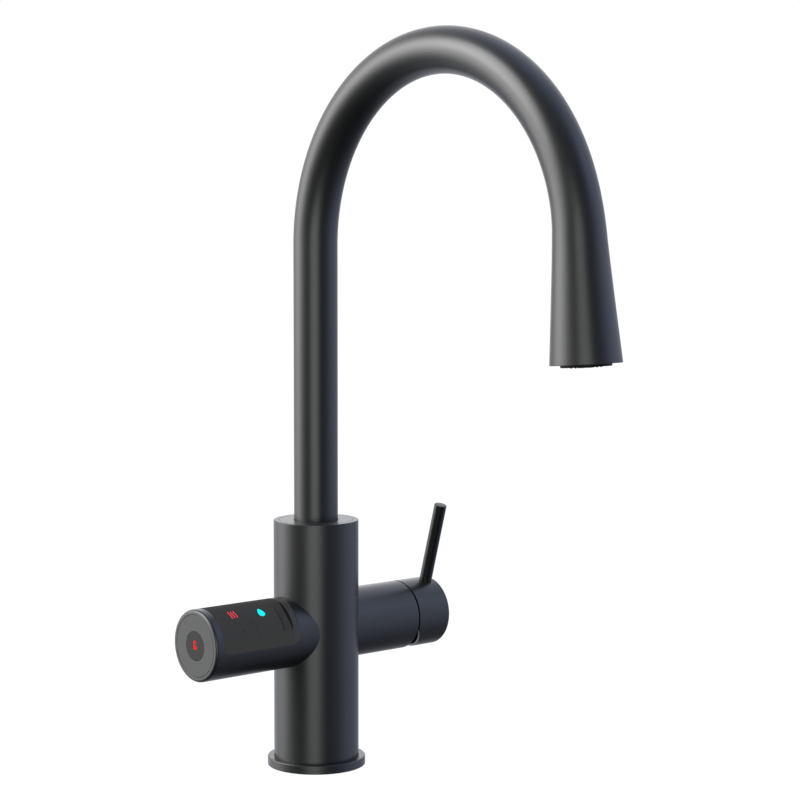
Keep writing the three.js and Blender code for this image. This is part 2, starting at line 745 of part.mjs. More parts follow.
function addCartridge(arm) {
  const sealEnd = CARTRIDGE_START - CLEARANCE;
  const seal = bar(CARTRIDGE_RADIUS - 0.4, CUP_FLOOR + CLEARANCE, sealEnd, INNER_ROUND);
  const sealHoles = portHoles(PORT_RADIUS, CUP_FLOOR - 1, sealEnd + 1);
  place(arm, "cartridge_seal", cut(seal, ...sealHoles), RUBBER());

  const ledge = SHOULDER - 1.8; // keeps the turning head in
  const shell = turned(
    [
      [0, CARTRIDGE_START],
      [CARTRIDGE_RADIUS, CARTRIDGE_START],
      [CARTRIDGE_RADIUS, SHOULDER],
      [NECK_RADIUS, SHOULDER],
      [NECK_RADIUS, NECK_END],
      [NECK_BORE, NECK_END],
      [NECK_BORE, ledge],
      [CARTRIDGE_CAVITY, ledge],
      [CARTRIDGE_CAVITY, CARTRIDGE_FLOOR],
      [0, CARTRIDGE_FLOOR],
    ],
    INNER_ROUND,
  );
  const shellHoles = portHoles(PORT_RADIUS, CARTRIDGE_START - 1, CARTRIDGE_FLOOR + 1);
  place(arm, "cartridge_body", cut(shell, ...shellHoles), BEARING_PLASTIC());

  const [discStart, discEnd] = [CARTRIDGE_FLOOR + CLEARANCE, CARTRIDGE_FLOOR + 3.3];
  const fixedDisc = bar(CARTRIDGE_CAVITY - CLEARANCE, discStart, discEnd, INNER_ROUND);
  const discHoles = portHoles(PORT_RADIUS - CLEARANCE, discStart - 1, discEnd + 1);
  place(arm, "ceramic_disc_fixed", cut(fixedDisc, ...discHoles), CERAMIC());

  const [nutBore, nutEnd, slotWidth] = [NECK_RADIUS + 0.4, 58, 3];
  const nut = turned(
    [
      [nutBore, SHOULDER + CLEARANCE],
      [CARTRIDGE_RADIUS, SHOULDER + CLEARANCE],
      [CARTRIDGE_RADIUS, SEAT_END + CLEARANCE],
      [SEAT_RADIUS, SEAT_END + CLEARANCE],
      [SEAT_RADIUS, nutEnd],
      [nutBore, nutEnd],
    ],
    INNER_ROUND,
  );
  const spannerSlots = [0, 1, 2].map((i) =>
    block(2 * SEAT_RADIUS + 2, slotWidth, slotWidth).translate(0, 0, nutEnd).rotateZ((i * Math.PI) / 3),
  );
  place(arm, "cartridge_nut", cut(nut, ...spannerSlots), BRASS());

  const cover = ring(nutBore, LEVER_BORE - CLEARANCE, nutEnd + 0.4, LEVER_GAP_START - 1, INNER_ROUND);
  place(arm, "cartridge_cover", solid(cover), DARK_PLASTIC());
}

// The turning head carries the stem's pivot pin and turns the sliding disc with it.
function addTurningHead(lever) {
  const [headStart, headEnd, flangeEnd] = [46.4, NECK_END + 0.5, SHOULDER - 2.1];
  const rotor = turned(
    [
      [0, headStart],
      [CARTRIDGE_CAVITY - CLEARANCE, headStart],
      [CARTRIDGE_CAVITY - CLEARANCE, flangeEnd],
      [NECK_BORE - CLEARANCE, flangeEnd],
      [NECK_BORE - CLEARANCE, headEnd],
      [0, headEnd],
    ],
    INNER_ROUND,
  );
  const [slotHeight, slotLength] = [14.6, 20];
  const slot = block(STEM_WIDTH + 2 * CLEARANCE, slotHeight, slotLength).translate(0, 0, TILT_PIVOT - 2);
  place(lever, "cartridge_rotor", cut(rotor, slot, pivotHole()), BEARING_PLASTIC());

  const pinHalf = NECK_BORE - 0.7;
  const pin = crossBar(PIVOT_PIN_RADIUS, -pinHalf, pinHalf).translate(0, 0, TILT_PIVOT);
  place(lever, "stem_pivot_pin", solid(pin), STEEL());

  const [discStart, discEnd, carrierEnd] = [34, 37.2, 45];
  const disc = bar(DISC_RADIUS, discStart, discEnd, INNER_ROUND).translate(0, -DISC_OFFSET, 0);
  const crossing = block(11, 4, 1.6).translate(0, 1.5, discStart);
  place(lever, "ceramic_disc_moving", cut(disc, crossing), CERAMIC());

  const carrier = bar(DISC_RADIUS, discEnd + CLEARANCE, carrierEnd, INNER_ROUND);
  const pocket = bar(3.2, STEM_TIP - 3.6, carrierEnd + 1, 16);
  const made = cut(carrier.translate(0, -DISC_OFFSET, 0), pocket);
  place(lever, "disc_carrier", made, BEARING_PLASTIC());
}

const pivotHole = () =>
  crossBar(PIVOT_PIN_RADIUS + CLEARANCE, -NECK_BORE, NECK_BORE).translate(0, 0, TILT_PIVOT);

function addStem(lever) {
  const [neckRadius, ballRadius] = [1.8, 2.6];
  const shank = block(STEM_WIDTH, STEM_HEIGHT, STEM_END - STEM_START);
  shank.translate(0, 0, (STEM_END + STEM_START) / 2);
  const neck = bar(neckRadius, STEM_TIP, STEM_START + 1);
  const ball = new THREE.SphereGeometry(ballRadius, 12, 8).rotateX(Math.PI / 2).translate(0, 0, STEM_TIP);
  place(lever, "cartridge_stem", cutFrom(join(shank, neck, ball), pivotHole()), BRASS());
}

// Hub of the lever: a cup whose inner edge is cut back opposite the rod.
function addHub(lever) {
  const edge = 0.7;
  const cup = turned([
    [0, HUB_BOSS_START],
    [HUB_BOSS_RADIUS, HUB_BOSS_START],
    [HUB_BOSS_RADIUS, HUB_SOLID_START],
    [LEVER_BORE, HUB_SOLID_START],
    [LEVER_BORE, LEVER_GAP_END],
    [LEVER_RADIUS, LEVER_GAP_END],
    ...roundedCorner(LEVER_RADIUS - edge, LEVER_END - edge, edge, 0, 90, 2),
    [0, LEVER_END],
  ]);
  const drop = LEVER_RADIUS + 4;
  const wedge = new THREE.Shape()
    .moveTo(LEVER_GAP_END, 0)
    .lineTo(LEVER_GAP_END + drop * Math.tan(RELIEF_ANGLE), -drop)
    .lineTo(LEVER_GAP_END - 4, -drop)
    .lineTo(LEVER_GAP_END - 4, 0);
  const relief = new THREE.ExtrudeGeometry(wedge, { depth: 50, bevelEnabled: false })
    .translate(0, 0, -25)
    .rotateY(-Math.PI / 2);
  const socketDepth = 14;
  const stemSocket = block(STEM_WIDTH + 2 * CLEARANCE, STEM_HEIGHT + 2 * CLEARANCE, socketDepth);
  const radial = (radius, from, to, station) =>
    uprightBar(radius, from, to, SMALL_ROUND).translate(0, 0, station);
  const made = cut(
    cup,
    relief,
    stemSocket.translate(0, 0, STEM_END + CLEARANCE - socketDepth / 2),
    radial(ROD_RADIUS + CLEARANCE, LEVER_BORE, LEVER_RADIUS + 5, ROD_STATION),
    radial(ROD_SHANK_RADIUS + CLEARANCE, ROD_SHANK_BOTTOM - CLEARANCE, LEVER_RADIUS, ROD_STATION),
    radial(GRUB_RADIUS + CLEARANCE, -LEVER_RADIUS - 5, 0, GRUB_STATION),
  );
  place(lever, "lever_hub", made, MATT_BLACK());
}

function addRod(lever) {
  const edge = 0.4;
  const rod = turned(
    [
      [0, ROD_SHANK_BOTTOM],
      [ROD_SHANK_RADIUS, ROD_SHANK_BOTTOM],
      [ROD_SHANK_RADIUS, LEVER_BORE + CLEARANCE],
      [ROD_RADIUS, LEVER_BORE + CLEARANCE],
      [ROD_RADIUS, ROD_TOP - edge],
      [ROD_RADIUS - edge, ROD_TOP],
      [0, ROD_TOP],
    ],
    SMALL_ROUND,
  ).rotateX(-Math.PI / 2);
  place(lever, "lever_rod", solid(rod.translate(0, 0, ROD_STATION)), MATT_BLACK());

  const radial = (from, to) =>
    uprightBar(GRUB_RADIUS, from, to, SMALL_ROUND).translate(0, 0, GRUB_STATION);
  const [screwHead, screwTip] = [-14, -STEM_HEIGHT / 2 - CLEARANCE];
  const [plugFace, plugBack] = [-19.7, -16.4];
  const hexagon = uprightBar(1.5, screwHead - 2, screwHead + 2.5, 6).translate(0, 0, GRUB_STATION);
  place(lever, "lever_grub_screw", cut(radial(screwHead, screwTip), hexagon), STEEL());
  place(lever, "grub_screw_plug", solid(radial(plugFace, plugBack)), DARK_PLASTIC());
}

function addLeverArm(tap) {
  const arm = armGroup(tap, new THREE.Vector3(1, 0, 0), new THREE.Vector3(0, 1, 0));
  addLeverHousing(arm);
  addCartridgeSeat(arm);
  addCartridge(arm);

  // What turns with the lever, in a frame whose Y runs along the rod.
  const lever = new THREE.Group();
  lever.rotation.z = LEVER_ANGLE;
  arm.add(lever);
  addTurningHead(lever);
  addStem(lever);
  addHub(lever);
  addRod(lever);
}

// ---------------------------------------------------------------- control pod arm

function addPodHousing(arm) {
  const edge = 1.5;
  const stubHole = STUB_RADIUS + 0.4;
  const shell = turned([
    [POD_BORE, BEFORE_SADDLE],
    [POD_RADIUS, BEFORE_SADDLE],
    ...roundedCorner(POD_RADIUS - edge, POD_END - edge, edge, 0, 90),
    [POD_BORE, POD_END],
    [POD_BORE, WEB_END],
    [stubHole, WEB_END],
    [stubHole, WEB_START],
    [POD_BORE, WEB_START],
  ]);
  const window = wrappedPlate({
    inner: POD_BORE - 2,
    outer: POD_RADIUS + 2,
    from: PANEL_BACK_ANGLE,
    to: PANEL_FRONT_ANGLE,
    start: PANEL_START,
    end: PANEL_END,
    corner: PANEL_CORNER,
  });
  place(arm, "pod_housing", cut(shell, saddle(), window), MATT_BLACK());
}

// The panel has a finger recess near the column: a ramp that deepens towards an undercut slit.
function addTouchPanel(arm) {
  const gapAngle = CLEARANCE / POD_RADIUS / DEGREE;
  const panel = wrappedPlate({
    inner: PANEL_INNER,
    outer: POD_RADIUS,
    from: PANEL_BACK_ANGLE + gapAngle,
    to: PANEL_FRONT_ANGLE - gapAngle,
    start: PANEL_START + CLEARANCE,
    end: PANEL_END - CLEARANCE,
    corner: PANEL_CORNER - CLEARANCE,
  });
  const [recessFrom, recessTo, steps] = [18, 73, 9];
  const [rampDepth, slitDepth] = [0.8, 1.2];
  const recess = sweptAround(
    (angle) => {
      const share = (angle - recessFrom) / (recessTo - recessFrom);
      const swell = Math.max(0.05, Math.sin(Math.PI * share));
      return [
        [POD_RADIUS + 1, SLIT_START],
        [POD_RADIUS + 1, RAMP_END],
        [POD_RADIUS, RAMP_END],
        [POD_RADIUS - rampDepth * swell, SLIT_END],
        [POD_RADIUS - slitDepth * swell, SLIT_END],
        [POD_RADIUS - slitDepth * swell, SLIT_START],
      ];
    },
    Array.from({ length: steps + 1 }, (_, i) => recessFrom + ((recessTo - recessFrom) * i) / steps),
  );
  place(arm, "touch_panel", cut(panel, recess), GLOSS_PANEL());

  // The gasket follows the window's edge: an outline of the window less a smaller one.
  const inset = (millimetres, degrees, inner, outer) =>
    wrappedPlate({
      inner,
      outer,
      from: PANEL_BACK_ANGLE + degrees,
      to: PANEL_FRONT_ANGLE - degrees,
      start: PANEL_START + millimetres,
      end: PANEL_END - millimetres,
      corner: PANEL_CORNER,
      facet: 10,
    });
  const gasketOuter = PANEL_INNER - CLEARANCE;
  const gasket = inset(0.8, 2, POD_BORE, gasketOuter);
  const opening = inset(3.6, 10, POD_BORE - 1, gasketOuter + 1);
  place(arm, "panel_gasket", cut(gasket, opening), RUBBER());
}

// Electronics behind the panel. Y points from the pod's axis to the middle of the panel.
function addElectronics(arm) {
  const panelSide = new THREE.Group();
  panelSide.rotation.z = -PANEL_MID_ANGLE * DEGREE;
  arm.add(panelSide);
  const half = (PANEL_FRONT_ANGLE - PANEL_BACK_ANGLE) / 2 + 6; // the carrier spans a little more
  const [screwRadius, screwTip, guideRadius] = [1.2, 14, 2.8];
  const post = (radius, from, to, station) =>
    uprightBar(radius, from, to, SMALL_ROUND).translate(0, 0, station);

  const shell = wrappedPlate({
    inner: CARRIER_INNER,
    outer: CARRIER_OUTER,
    from: -half,
    to: half,
    start: CARRIER_START,
    end: CARRIER_END,
    corner: 2,
    facet: 12,
  });
  const posts = SCREW_STATIONS.map(([, station]) =>
    post(2 * screwRadius + 0.2, BOARD_LEVEL + CLEARANCE, CARRIER_INNER + 0.6, station),
  );
  const guideHoles = [STEAM_ICON_STATION, DROP_ICON_STATION].map((station) =>
    post(guideRadius + CLEARANCE, BOARD_LEVEL - 1, CARRIER_OUTER + 1, station),
  );
  const threads = SCREW_STATIONS.map(([, station]) =>
    post(screwRadius + CLEARANCE, BOARD_LEVEL - 1, screwTip + 0.5, station),
  );
  const carrier = cutFrom(join(shell, ...posts), ...guideHoles, ...threads);
  place(panelSide, "board_carrier", carrier, DARK_PLASTIC());

  const board = block(BOARD_WIDTH, BOARD_THICKNESS, BOARD_END - BOARD_START).translate(
    0,
    BOARD_LEVEL - BOARD_THICKNESS / 2,
    (BOARD_START + BOARD_END) / 2,
  );
  const screwHoles = SCREW_STATIONS.map(([, station]) =>
    post(screwRadius + CLEARANCE, BOARD_LEVEL - BOARD_THICKNESS - 1, BOARD_LEVEL + 1, station),
  );
  place(panelSide, "control_board", cut(board, ...screwHoles), BOARD_GREEN());

  SCREW_STATIONS.forEach(([name, station]) => {
    const headTop = BOARD_LEVEL - BOARD_THICKNESS - CLEARANCE;
    const shank = post(screwRadius, headTop - 1, screwTip, station);
    const head = post(2 * screwRadius, headTop - 1.5, headTop, station);
    place(panelSide, name, join(shank, head), STEEL());
  });
  [
    ["steam_light_guide", STEAM_ICON_STATION],
    ["drop_light_guide", DROP_ICON_STATION],
  ].forEach(([name, station]) => {
    const guide = post(guideRadius, BOARD_LEVEL + CLEARANCE, PANEL_INNER - 0.4, station);
    place(panelSide, name, solid(guide), CLEAR_PLASTIC());
  });
}

// A hollow stub through the column's wall holds the pod, with a nut inside the pod.
function addPodFixing(arm) {
  const inner = COLUMN_RADIUS - COLUMN_WALL - CLEARANCE;
  const [headRadius, headStart, stubEnd] = [12.5, 10, 34];
  const stub = ring(STUB_BORE, STUB_RADIUS, headStart, stubEnd, INNER_ROUND);
  const head = ring(STUB_BORE, headRadius, headStart, COLUMN_RADIUS, INNER_ROUND);
  const insideColumn = uprightBar(inner, -40, 40);
  const shapedHead = solid(head).intersect(solid(insideColumn));
  place(arm, "pod_stub", shapedHead.add(solid(stub)), BRASS());

  const [nutStart, nutEnd] = [WEB_END + CLEARANCE, WEB_END + 5.2];
  const nut = ring(STUB_RADIUS + CLEARANCE, headRadius, nutStart, nutEnd, 6);
  const roundBore = bar(STUB_RADIUS + CLEARANCE, nutStart - 1, nutEnd + 1, INNER_ROUND);
  place(arm, "pod_stub_nut", cutFrom(solid(nut), roundBore), BRASS());
}

function addEndCap(arm) {
  const capRadius = POD_BORE - CLEARANCE;
  const capBack = CAP_FACE - CAP_THICKNESS;
  const edge = 0.3;
  const cap = turned([
    [BUTTON_RADIUS + CLEARANCE, capBack],
    [capRadius, capBack],
    [capRadius, CAP_FACE - edge],
    [capRadius - edge, CAP_FACE],
    [BUTTON_RADIUS + CLEARANCE, CAP_FACE],
  ]);
  place(arm, "end_cap_disc", solid(cap), DARK_PLASTIC());
  place(arm, "end_cap_seal", solid(oRing(16.5, 1.6, capBack - 1.1)), RUBBER());

  const [boss, lightBore, window] = [4, 2.5, 0.7]; // the face over the light is this thin
  const button = turned(
    [
      [lightBore, BUTTON_BACK],
      [boss, BUTTON_BACK],
      [boss, BUTTON_BACK + 0.4],
      [BUTTON_FLANGE, BUTTON_BACK + 0.4],
      [BUTTON_FLANGE, capBack - CLEARANCE],
      [BUTTON_RADIUS, capBack - CLEARANCE],
      [BUTTON_RADIUS, CAP_FACE - edge],
      [BUTTON_RADIUS - edge, CAP_FACE],
      [0, CAP_FACE],
      [0, CAP_FACE - window],
      [lightBore, CAP_FACE - window],
    ],
    INNER_ROUND,
  );
  place(arm, "lock_button", solid(button), DARK_PLASTIC());
  const guide = bar(lightBore - CLEARANCE, BUTTON_BACK + CLEARANCE, CAP_FACE - window - CLEARANCE);
  place(arm, "lock_light_guide", solid(guide), CLEAR_PLASTIC());

  const board = bar(15, END_BOARD_FACE - BOARD_THICKNESS, END_BOARD_FACE, INNER_ROUND);
  place(arm, "end_board", solid(board), BOARD_GREEN());

  // The dome stands at its pressed height, clear of the button.
  const [domeFoot, domeTop] = [END_BOARD_FACE + CLEARANCE, BUTTON_BACK - BUTTON_TRAVEL - CLEARANCE];
  const dome = turned(
    [
      [4.6, domeFoot],
      [6.8, domeFoot],
      [5.2, domeTop],
      [3, domeTop],
      [4.6, domeTop - 0.5],
    ],
    SMALL_ROUND,
  );
  place(arm, "return_dome", solid(dome), RUBBER());
  const [switchWidth, switchHeight, plungerRadius] = [5, 1.1, 1.6];
  const base = block(switchWidth, switchWidth, switchHeight).translate(0, 0, domeFoot + switchHeight / 2);
  const plunger = bar(plungerRadius, domeFoot + 0.7, domeFoot + 1.7);
  place(arm, "lock_switch", join(base, plunger), STEEL());
}

function addPodArm(tap) {
  const arm = armGroup(tap, new THREE.Vector3(-1, 0, 0), new THREE.Vector3(0, -1, 0));
  addPodHousing(arm);
  addTouchPanel(arm);
  addElectronics(arm);
  addPodFixing(arm);
  addEndCap(arm);
}

// ---------------------------------------------------------------- the tap

const tap = new THREE.Group();
addBase(tap);
addColumn(tap);
addPipes(tap);
addSwivelSocket(tap);
addSpout(tap);
addOutlet(tap);
addLeverArm(tap);
addPodArm(tap);

export default tap;
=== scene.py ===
"""Boiling water tap with a gooseneck spout: fine surfaces, finishes, studio light and camera.

Sizes are in millimetres, and become metres when a mesh is made. The frame is +Z up, with its
origin on the column's axis at the worktop. The spout reaches towards -Y, the control pod
points to -X and the mixing lever to +X.
"""

import json
import logging
import math
from collections.abc import Callable, Iterator, Sequence
from dataclasses import dataclass, field
from enum import Enum, IntEnum

import bmesh
import bpy
from mathutils import Matrix, Vector
from mathutils.geometry import delaunay_2d_cdt


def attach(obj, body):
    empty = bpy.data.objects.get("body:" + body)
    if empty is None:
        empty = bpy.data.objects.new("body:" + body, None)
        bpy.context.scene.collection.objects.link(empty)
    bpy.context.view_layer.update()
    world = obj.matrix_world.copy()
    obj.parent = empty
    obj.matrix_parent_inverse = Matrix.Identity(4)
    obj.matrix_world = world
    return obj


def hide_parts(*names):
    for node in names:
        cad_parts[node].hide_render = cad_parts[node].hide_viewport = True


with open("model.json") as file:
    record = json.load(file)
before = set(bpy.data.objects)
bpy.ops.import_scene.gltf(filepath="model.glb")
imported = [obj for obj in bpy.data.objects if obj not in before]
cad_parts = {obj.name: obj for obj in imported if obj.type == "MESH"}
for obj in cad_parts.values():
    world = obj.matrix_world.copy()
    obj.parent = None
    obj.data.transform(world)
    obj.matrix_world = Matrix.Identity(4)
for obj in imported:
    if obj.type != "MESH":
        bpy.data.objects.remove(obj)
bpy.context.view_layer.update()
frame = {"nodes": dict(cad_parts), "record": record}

log = logging.getLogger("tap")

MM = 0.001
Point = tuple[float, float]
Corner = tuple[float, float, float]
Colour = tuple[float, float, float]
Section = Callable[[float], Sequence[Point]]


class Body(Enum):
    """Rigid bodies of the frame that a visible piece can ride on."""

    COLUMN = "column"
    SPOUT = "spout"
    LEVER = "lever"
    BUTTON = "lock_button_body"


class Slot(Enum):
    """Material slots of the record."""

    BLACK = "black_finish"
    BRASS = "brass"
    STEEL = "steel"
    RUBBER = "rubber"
    BEARING = "bearing_plastic"
    DARK = "dark_plastic"
    PANEL = "gloss_panel"
    DISC = "cap_grey"
    CERAMIC = "ceramic"
    BOARD = "board_green"
    CLEAR = "clear_plastic"


class Zone(IntEnum):
    """Areas of the touch panel, by their place in its material slots. Each area gets painted light:
    a glow on the face and lip, and painted shade in the slit, on the ramp and along the ramp's
    edge.
    """

    FACE = 0
    LIP_GLOW = 1
    SLIT = 2
    RAMP = 3
    CREASE = 4


# ---------------------------------------------------------------- finishes

# Nearly all of a noise texture lies between these values.
NOISE_LOW, NOISE_HIGH = 0.3, 0.7


class Shader:
    """Adds and links the nodes of one material."""

    def __init__(self, name: str) -> None:
        """Starts a material with a Principled shader.

        Args:
            name: The material's name.
        """
        self.material = bpy.data.materials.new(name)
        self.material.use_nodes = True
        self.tree = self.material.node_tree
        self.tree.nodes.clear()
        self.surface = self.add("ShaderNodeBsdfPrincipled")
        output = self.add("ShaderNodeOutputMaterial")
        self.link(self.surface.outputs["BSDF"], output.inputs["Surface"])
        self.place = self.add("ShaderNodeTexCoord").outputs["Object"]

    def add(self, kind: str, **settings: object) -> bpy.types.Node:
        """Adds a node and sets its properties.

        Args:
            kind: The node's type name.
            **settings: Properties of the node.

        Returns:
            The node.
        """
        node = self.tree.nodes.new(kind)
        for key, value in settings.items():
            setattr(node, key, value)
        return node

    def link(self, source: bpy.types.NodeSocket, target: bpy.types.NodeSocket) -> None:
        """Links an output to an input."""
        self.tree.links.new(source, target)

    def set(self, **values: object) -> None:
        """Sets constants on the shader's own sockets, with underscores for spaces."""
        for key, value in values.items():
            self.surface.inputs[key.replace("_", " ")].default_value = value

    def noise(
        self, size_mm: float, detail: float = 2.0, stretch: Colour = (1.0, 1.0, 1.0)
    ) -> bpy.types.NodeSocket:
        """Noise that moves with the piece.

        Args:
            size_mm: Size of its features.
            detail: Octaves of finer noise.
            stretch: How much finer it is along each axis.

        Returns:
            The factor, from 0 to 1.
        """
        mapping = self.add("ShaderNodeMapping")
        mapping.inputs["Scale"].default_value = stretch
        self.link(self.place, mapping.inputs["Vector"])
        texture = self.add("ShaderNodeTexNoise")
        texture.inputs["Scale"].default_value = 1 / (size_mm * MM)
        texture.inputs["Detail"].default_value = detail
        self.link(mapping.outputs["Vector"], texture.inputs["Vector"])
        return texture.outputs["Fac"]

    def blend(
        self, factor: bpy.types.NodeSocket, low: float, high: float
    ) -> bpy.types.NodeSocket:
        """Spreads the middle of a noise over a range of values.

        Args:
            factor: A noise.
            low: Value at the noise's low end.
            high: Value at its high end.

        Returns:
            The spread value.
        """
        spread = self.add("ShaderNodeMapRange")
        ends = {"From Min": NOISE_LOW, "From Max": NOISE_HIGH, "To Min": low, "To Max": high}
        for key, value in ends.items():
            spread.inputs[key].default_value = value
        self.link(factor, spread.inputs["Value"])
        return spread.outputs["Result"]

    def tint(self, factor: bpy.types.NodeSocket, low: Colour, high: Colour) -> None:
        """Colours the surface between two shades by a noise.

        Args:
            factor: A noise.
            low: Colour at the noise's low end.
            high: Colour at its high end.
        """
        ramp = self.add("ShaderNodeValToRGB")
        stops = zip(ramp.color_ramp.elements, (NOISE_LOW, NOISE_HIGH), (low, high))
        for stop, position, colour in stops:
            stop.position = position
            stop.color = (*colour, 1.0)
        self.link(factor, ramp.inputs["Fac"])
        self.link(ramp.outputs["Color"], self.surface.inputs["Base Color"])

    def relief(self, height: bpy.types.NodeSocket, depth_mm: float) -> None:
        """Adds a bump, on top of any that is there.

        Args:
            height: Height field from 0 to 1.
            depth_mm: Depth of the relief.
        """
        bump = self.add("ShaderNodeBump")
        bump.inputs["Distance"].default_value = depth_mm * MM
        self.link(height, bump.inputs["Height"])
        normal = self.surface.inputs["Normal"]
        if normal.is_linked:
            self.link(normal.links[0].from_socket, bump.inputs["Normal"])
        self.link(bump.outputs["Normal"], normal)


@dataclass(frozen=True)
class Finish:
    """A surface with a faint drift of colour, uneven roughness and a fine relief.

    The drift and the unevenness are shares of the colour and of the roughness.
    """

    name: str
    colour: Colour
    roughness: float
    metallic: float = 0.0
    drift: float = 0.12
    drift_mm: float = 14.0
    uneven: float = 0.08
    grain_mm: float = 0.3
    relief_mm: float = 0.004
    gloss: float = 0.5
    stretch: Colour = (1.0, 1.0, 1.0)
    extra: dict[str, object] = field(default_factory=dict)

    def shader(self) -> Shader:
        """Builds the nodes.

        Returns:
            The shader, ready for more nodes.
        """
        shader = Shader(self.name)
        low = tuple(value * (1 - self.drift) for value in self.colour)
        high = tuple(value * (1 + self.drift) for value in self.colour)
        drift = shader.noise(self.drift_mm)
        grain = shader.noise(self.grain_mm, detail=3.0, stretch=self.stretch)
        shader.tint(drift, low, high)
        smoothest, roughest = (self.roughness * (1 + side * self.uneven) for side in (-1, 1))
        rough = shader.blend(grain, smoothest, roughest)
        shader.link(rough, shader.surface.inputs["Roughness"])
        shader.relief(grain, self.relief_mm)
        shader.set(Metallic=self.metallic, Specular_IOR_Level=self.gloss, **self.extra)
        return shader

    def material(self) -> bpy.types.Material:
        """Builds the material."""
        return self.shader().material


@dataclass(frozen=True)
class TurnedFinish(Finish):
    """A finish with fine lines round the pod's axis, as a turned disc has."""

    axis_height: float = 79.9
    line_mm: float = 0.35
    line_depth_mm: float = 0.006

    def shader(self) -> Shader:
        """Builds the nodes, with the lines on top of the grain.

        Returns:
            The shader, ready for more nodes.
        """
        shader = super().shader()
        centred = shader.add("ShaderNodeVectorMath", operation="SUBTRACT")
        centred.inputs[1].default_value = (0.0, 0.0, self.axis_height * MM)
        shader.link(shader.place, centred.inputs[0])
        flat = shader.add("ShaderNodeVectorMath", operation="MULTIPLY")
        flat.inputs[1].default_value = (0.0, 1.0, 1.0)
        shader.link(centred.outputs["Vector"], flat.inputs[0])
        distance = shader.add("ShaderNodeVectorMath", operation="LENGTH")
        shader.link(flat.outputs["Vector"], distance.inputs[0])
        lines = shader.add("ShaderNodeTexNoise", noise_dimensions="1D")
        lines.inputs["Scale"].default_value = 1 / (self.line_mm * MM)
        shader.link(distance.outputs["Value"], lines.inputs["W"])
        shader.relief(lines.outputs["Fac"], self.line_depth_mm)
        return shader


@dataclass(frozen=True)
class Glow:
    """A lit symbol behind the panel, a little uneven as a light guide's glow is.

    The dimmest, brightest and unlit values are shares of its strength and of its colour.
    """

    name: str
    colour: Colour
    strength: float
    dimmest: float = 0.92
    brightest: float = 1.06
    uneven_mm: float = 2.5
    unlit: float = 0.03
    roughness: float = 0.4

    def material(self) -> bpy.types.Material:
        """Builds the glow's nodes.

        Returns:
            The material.
        """
        shader = Shader(self.name)
        uneven = shader.noise(self.uneven_mm)
        weakest, strongest = (self.strength * share for share in (self.dimmest, self.brightest))
        glow = shader.blend(uneven, weakest, strongest)
        shader.link(glow, shader.surface.inputs["Emission Strength"])
        unlit = tuple(value * self.unlit for value in self.colour)
        shader.set(
            Base_Color=(*unlit, 1.0),
            Emission_Color=(*self.colour, 1.0),
            Roughness=self.roughness,
            Specular_IOR_Level=0.0,
        )
        return shader.material


FINISHES: dict[Slot, Finish] = {
    Slot.BLACK: Finish(
        "matt_black_coat", (0.01, 0.01, 0.0102), 0.36, drift=0.08, relief_mm=0.0025
    ),
    # The touch panel's emission is a painted glow. It stands in for the bright surroundings that
    # the dark panel reflects, and keeps the panel one flat grey.
    Slot.PANEL: Finish(
        "touch_panel", (0.01, 0.01, 0.01), 0.7, drift=0.06, grain_mm=0.5,
        relief_mm=0.0012, gloss=0.01,
        extra={"Emission_Color": (1.0, 1.0, 1.0, 1.0), "Emission_Strength": 0.034},
    ),
    Slot.DISC: TurnedFinish(
        "turned_grey_disc", (0.045, 0.045, 0.0452), 0.42, drift=0.04, relief_mm=0.002, gloss=0.22
    ),
    Slot.DARK: Finish("satin_black_plastic", (0.02, 0.02, 0.022), 0.4, relief_mm=0.003),
    Slot.RUBBER: Finish("seal_rubber", (0.012, 0.012, 0.0125), 0.7, relief_mm=0.01),
    Slot.BRASS: Finish(
        "machined_brass", (0.71, 0.53, 0.26), 0.3, metallic=1.0, drift=0.06,
        stretch=(1.0, 1.0, 8.0),
    ),
    Slot.STEEL: Finish(
        "plain_steel", (0.58, 0.59, 0.6), 0.32, metallic=1.0, drift=0.05,
        stretch=(8.0, 8.0, 1.0),
    ),
    Slot.BEARING: Finish("bearing_plastic", (0.7, 0.69, 0.64), 0.45, drift=0.04),
    Slot.CERAMIC: Finish("lapped_ceramic", (0.84, 0.83, 0.79), 0.15, drift=0.02),
    Slot.BOARD: Finish("circuit_board", (0.03, 0.16, 0.06), 0.45, drift=0.15, drift_mm=3.0),
    Slot.CLEAR: Finish(
        "light_guide", (0.86, 0.89, 0.9), 0.12, drift=0.02,
        extra={"Transmission_Weight": 0.85, "IOR": 1.49},
    ),
}
LEVER_ROD = Finish("rod_coat", (0.007, 0.007, 0.0072), 0.3, relief_mm=0.002, gloss=0.3)
# Painted shade for what is seen inside the lever's gap: near-black and matt.
GAP_SHADE = Finish("painted_gap_shade", (0.002, 0.002, 0.002), 0.9, gloss=0.01)
# Painted highlight: a lighter grey metal for the hub's inner edge, where light catches it in the
# lever's gap.
EDGE_HIGHLIGHT = Finish("painted_edge_highlight", (0.2, 0.2, 0.2), 0.35, metallic=1.0, relief_mm=0.002)
OUTLET = Finish("outlet_black", (0.006, 0.006, 0.006), 0.5, relief_mm=0.003, gloss=0.12)
BUTTON = Finish("button_face", (0.009, 0.009, 0.0092), 0.42, relief_mm=0.002, gloss=0.155)
# The lip's emission is a painted glow like the panel face's, standing in for the light it reflects.
LIP_GLOW = Finish(
    "recess_lip_painted_glow", (0.01, 0.01, 0.01), 0.4, drift=0.05, relief_mm=0.001, gloss=0.12,
    extra={"Emission_Color": (1.0, 1.0, 1.0, 1.0), "Emission_Strength": 0.03},
)
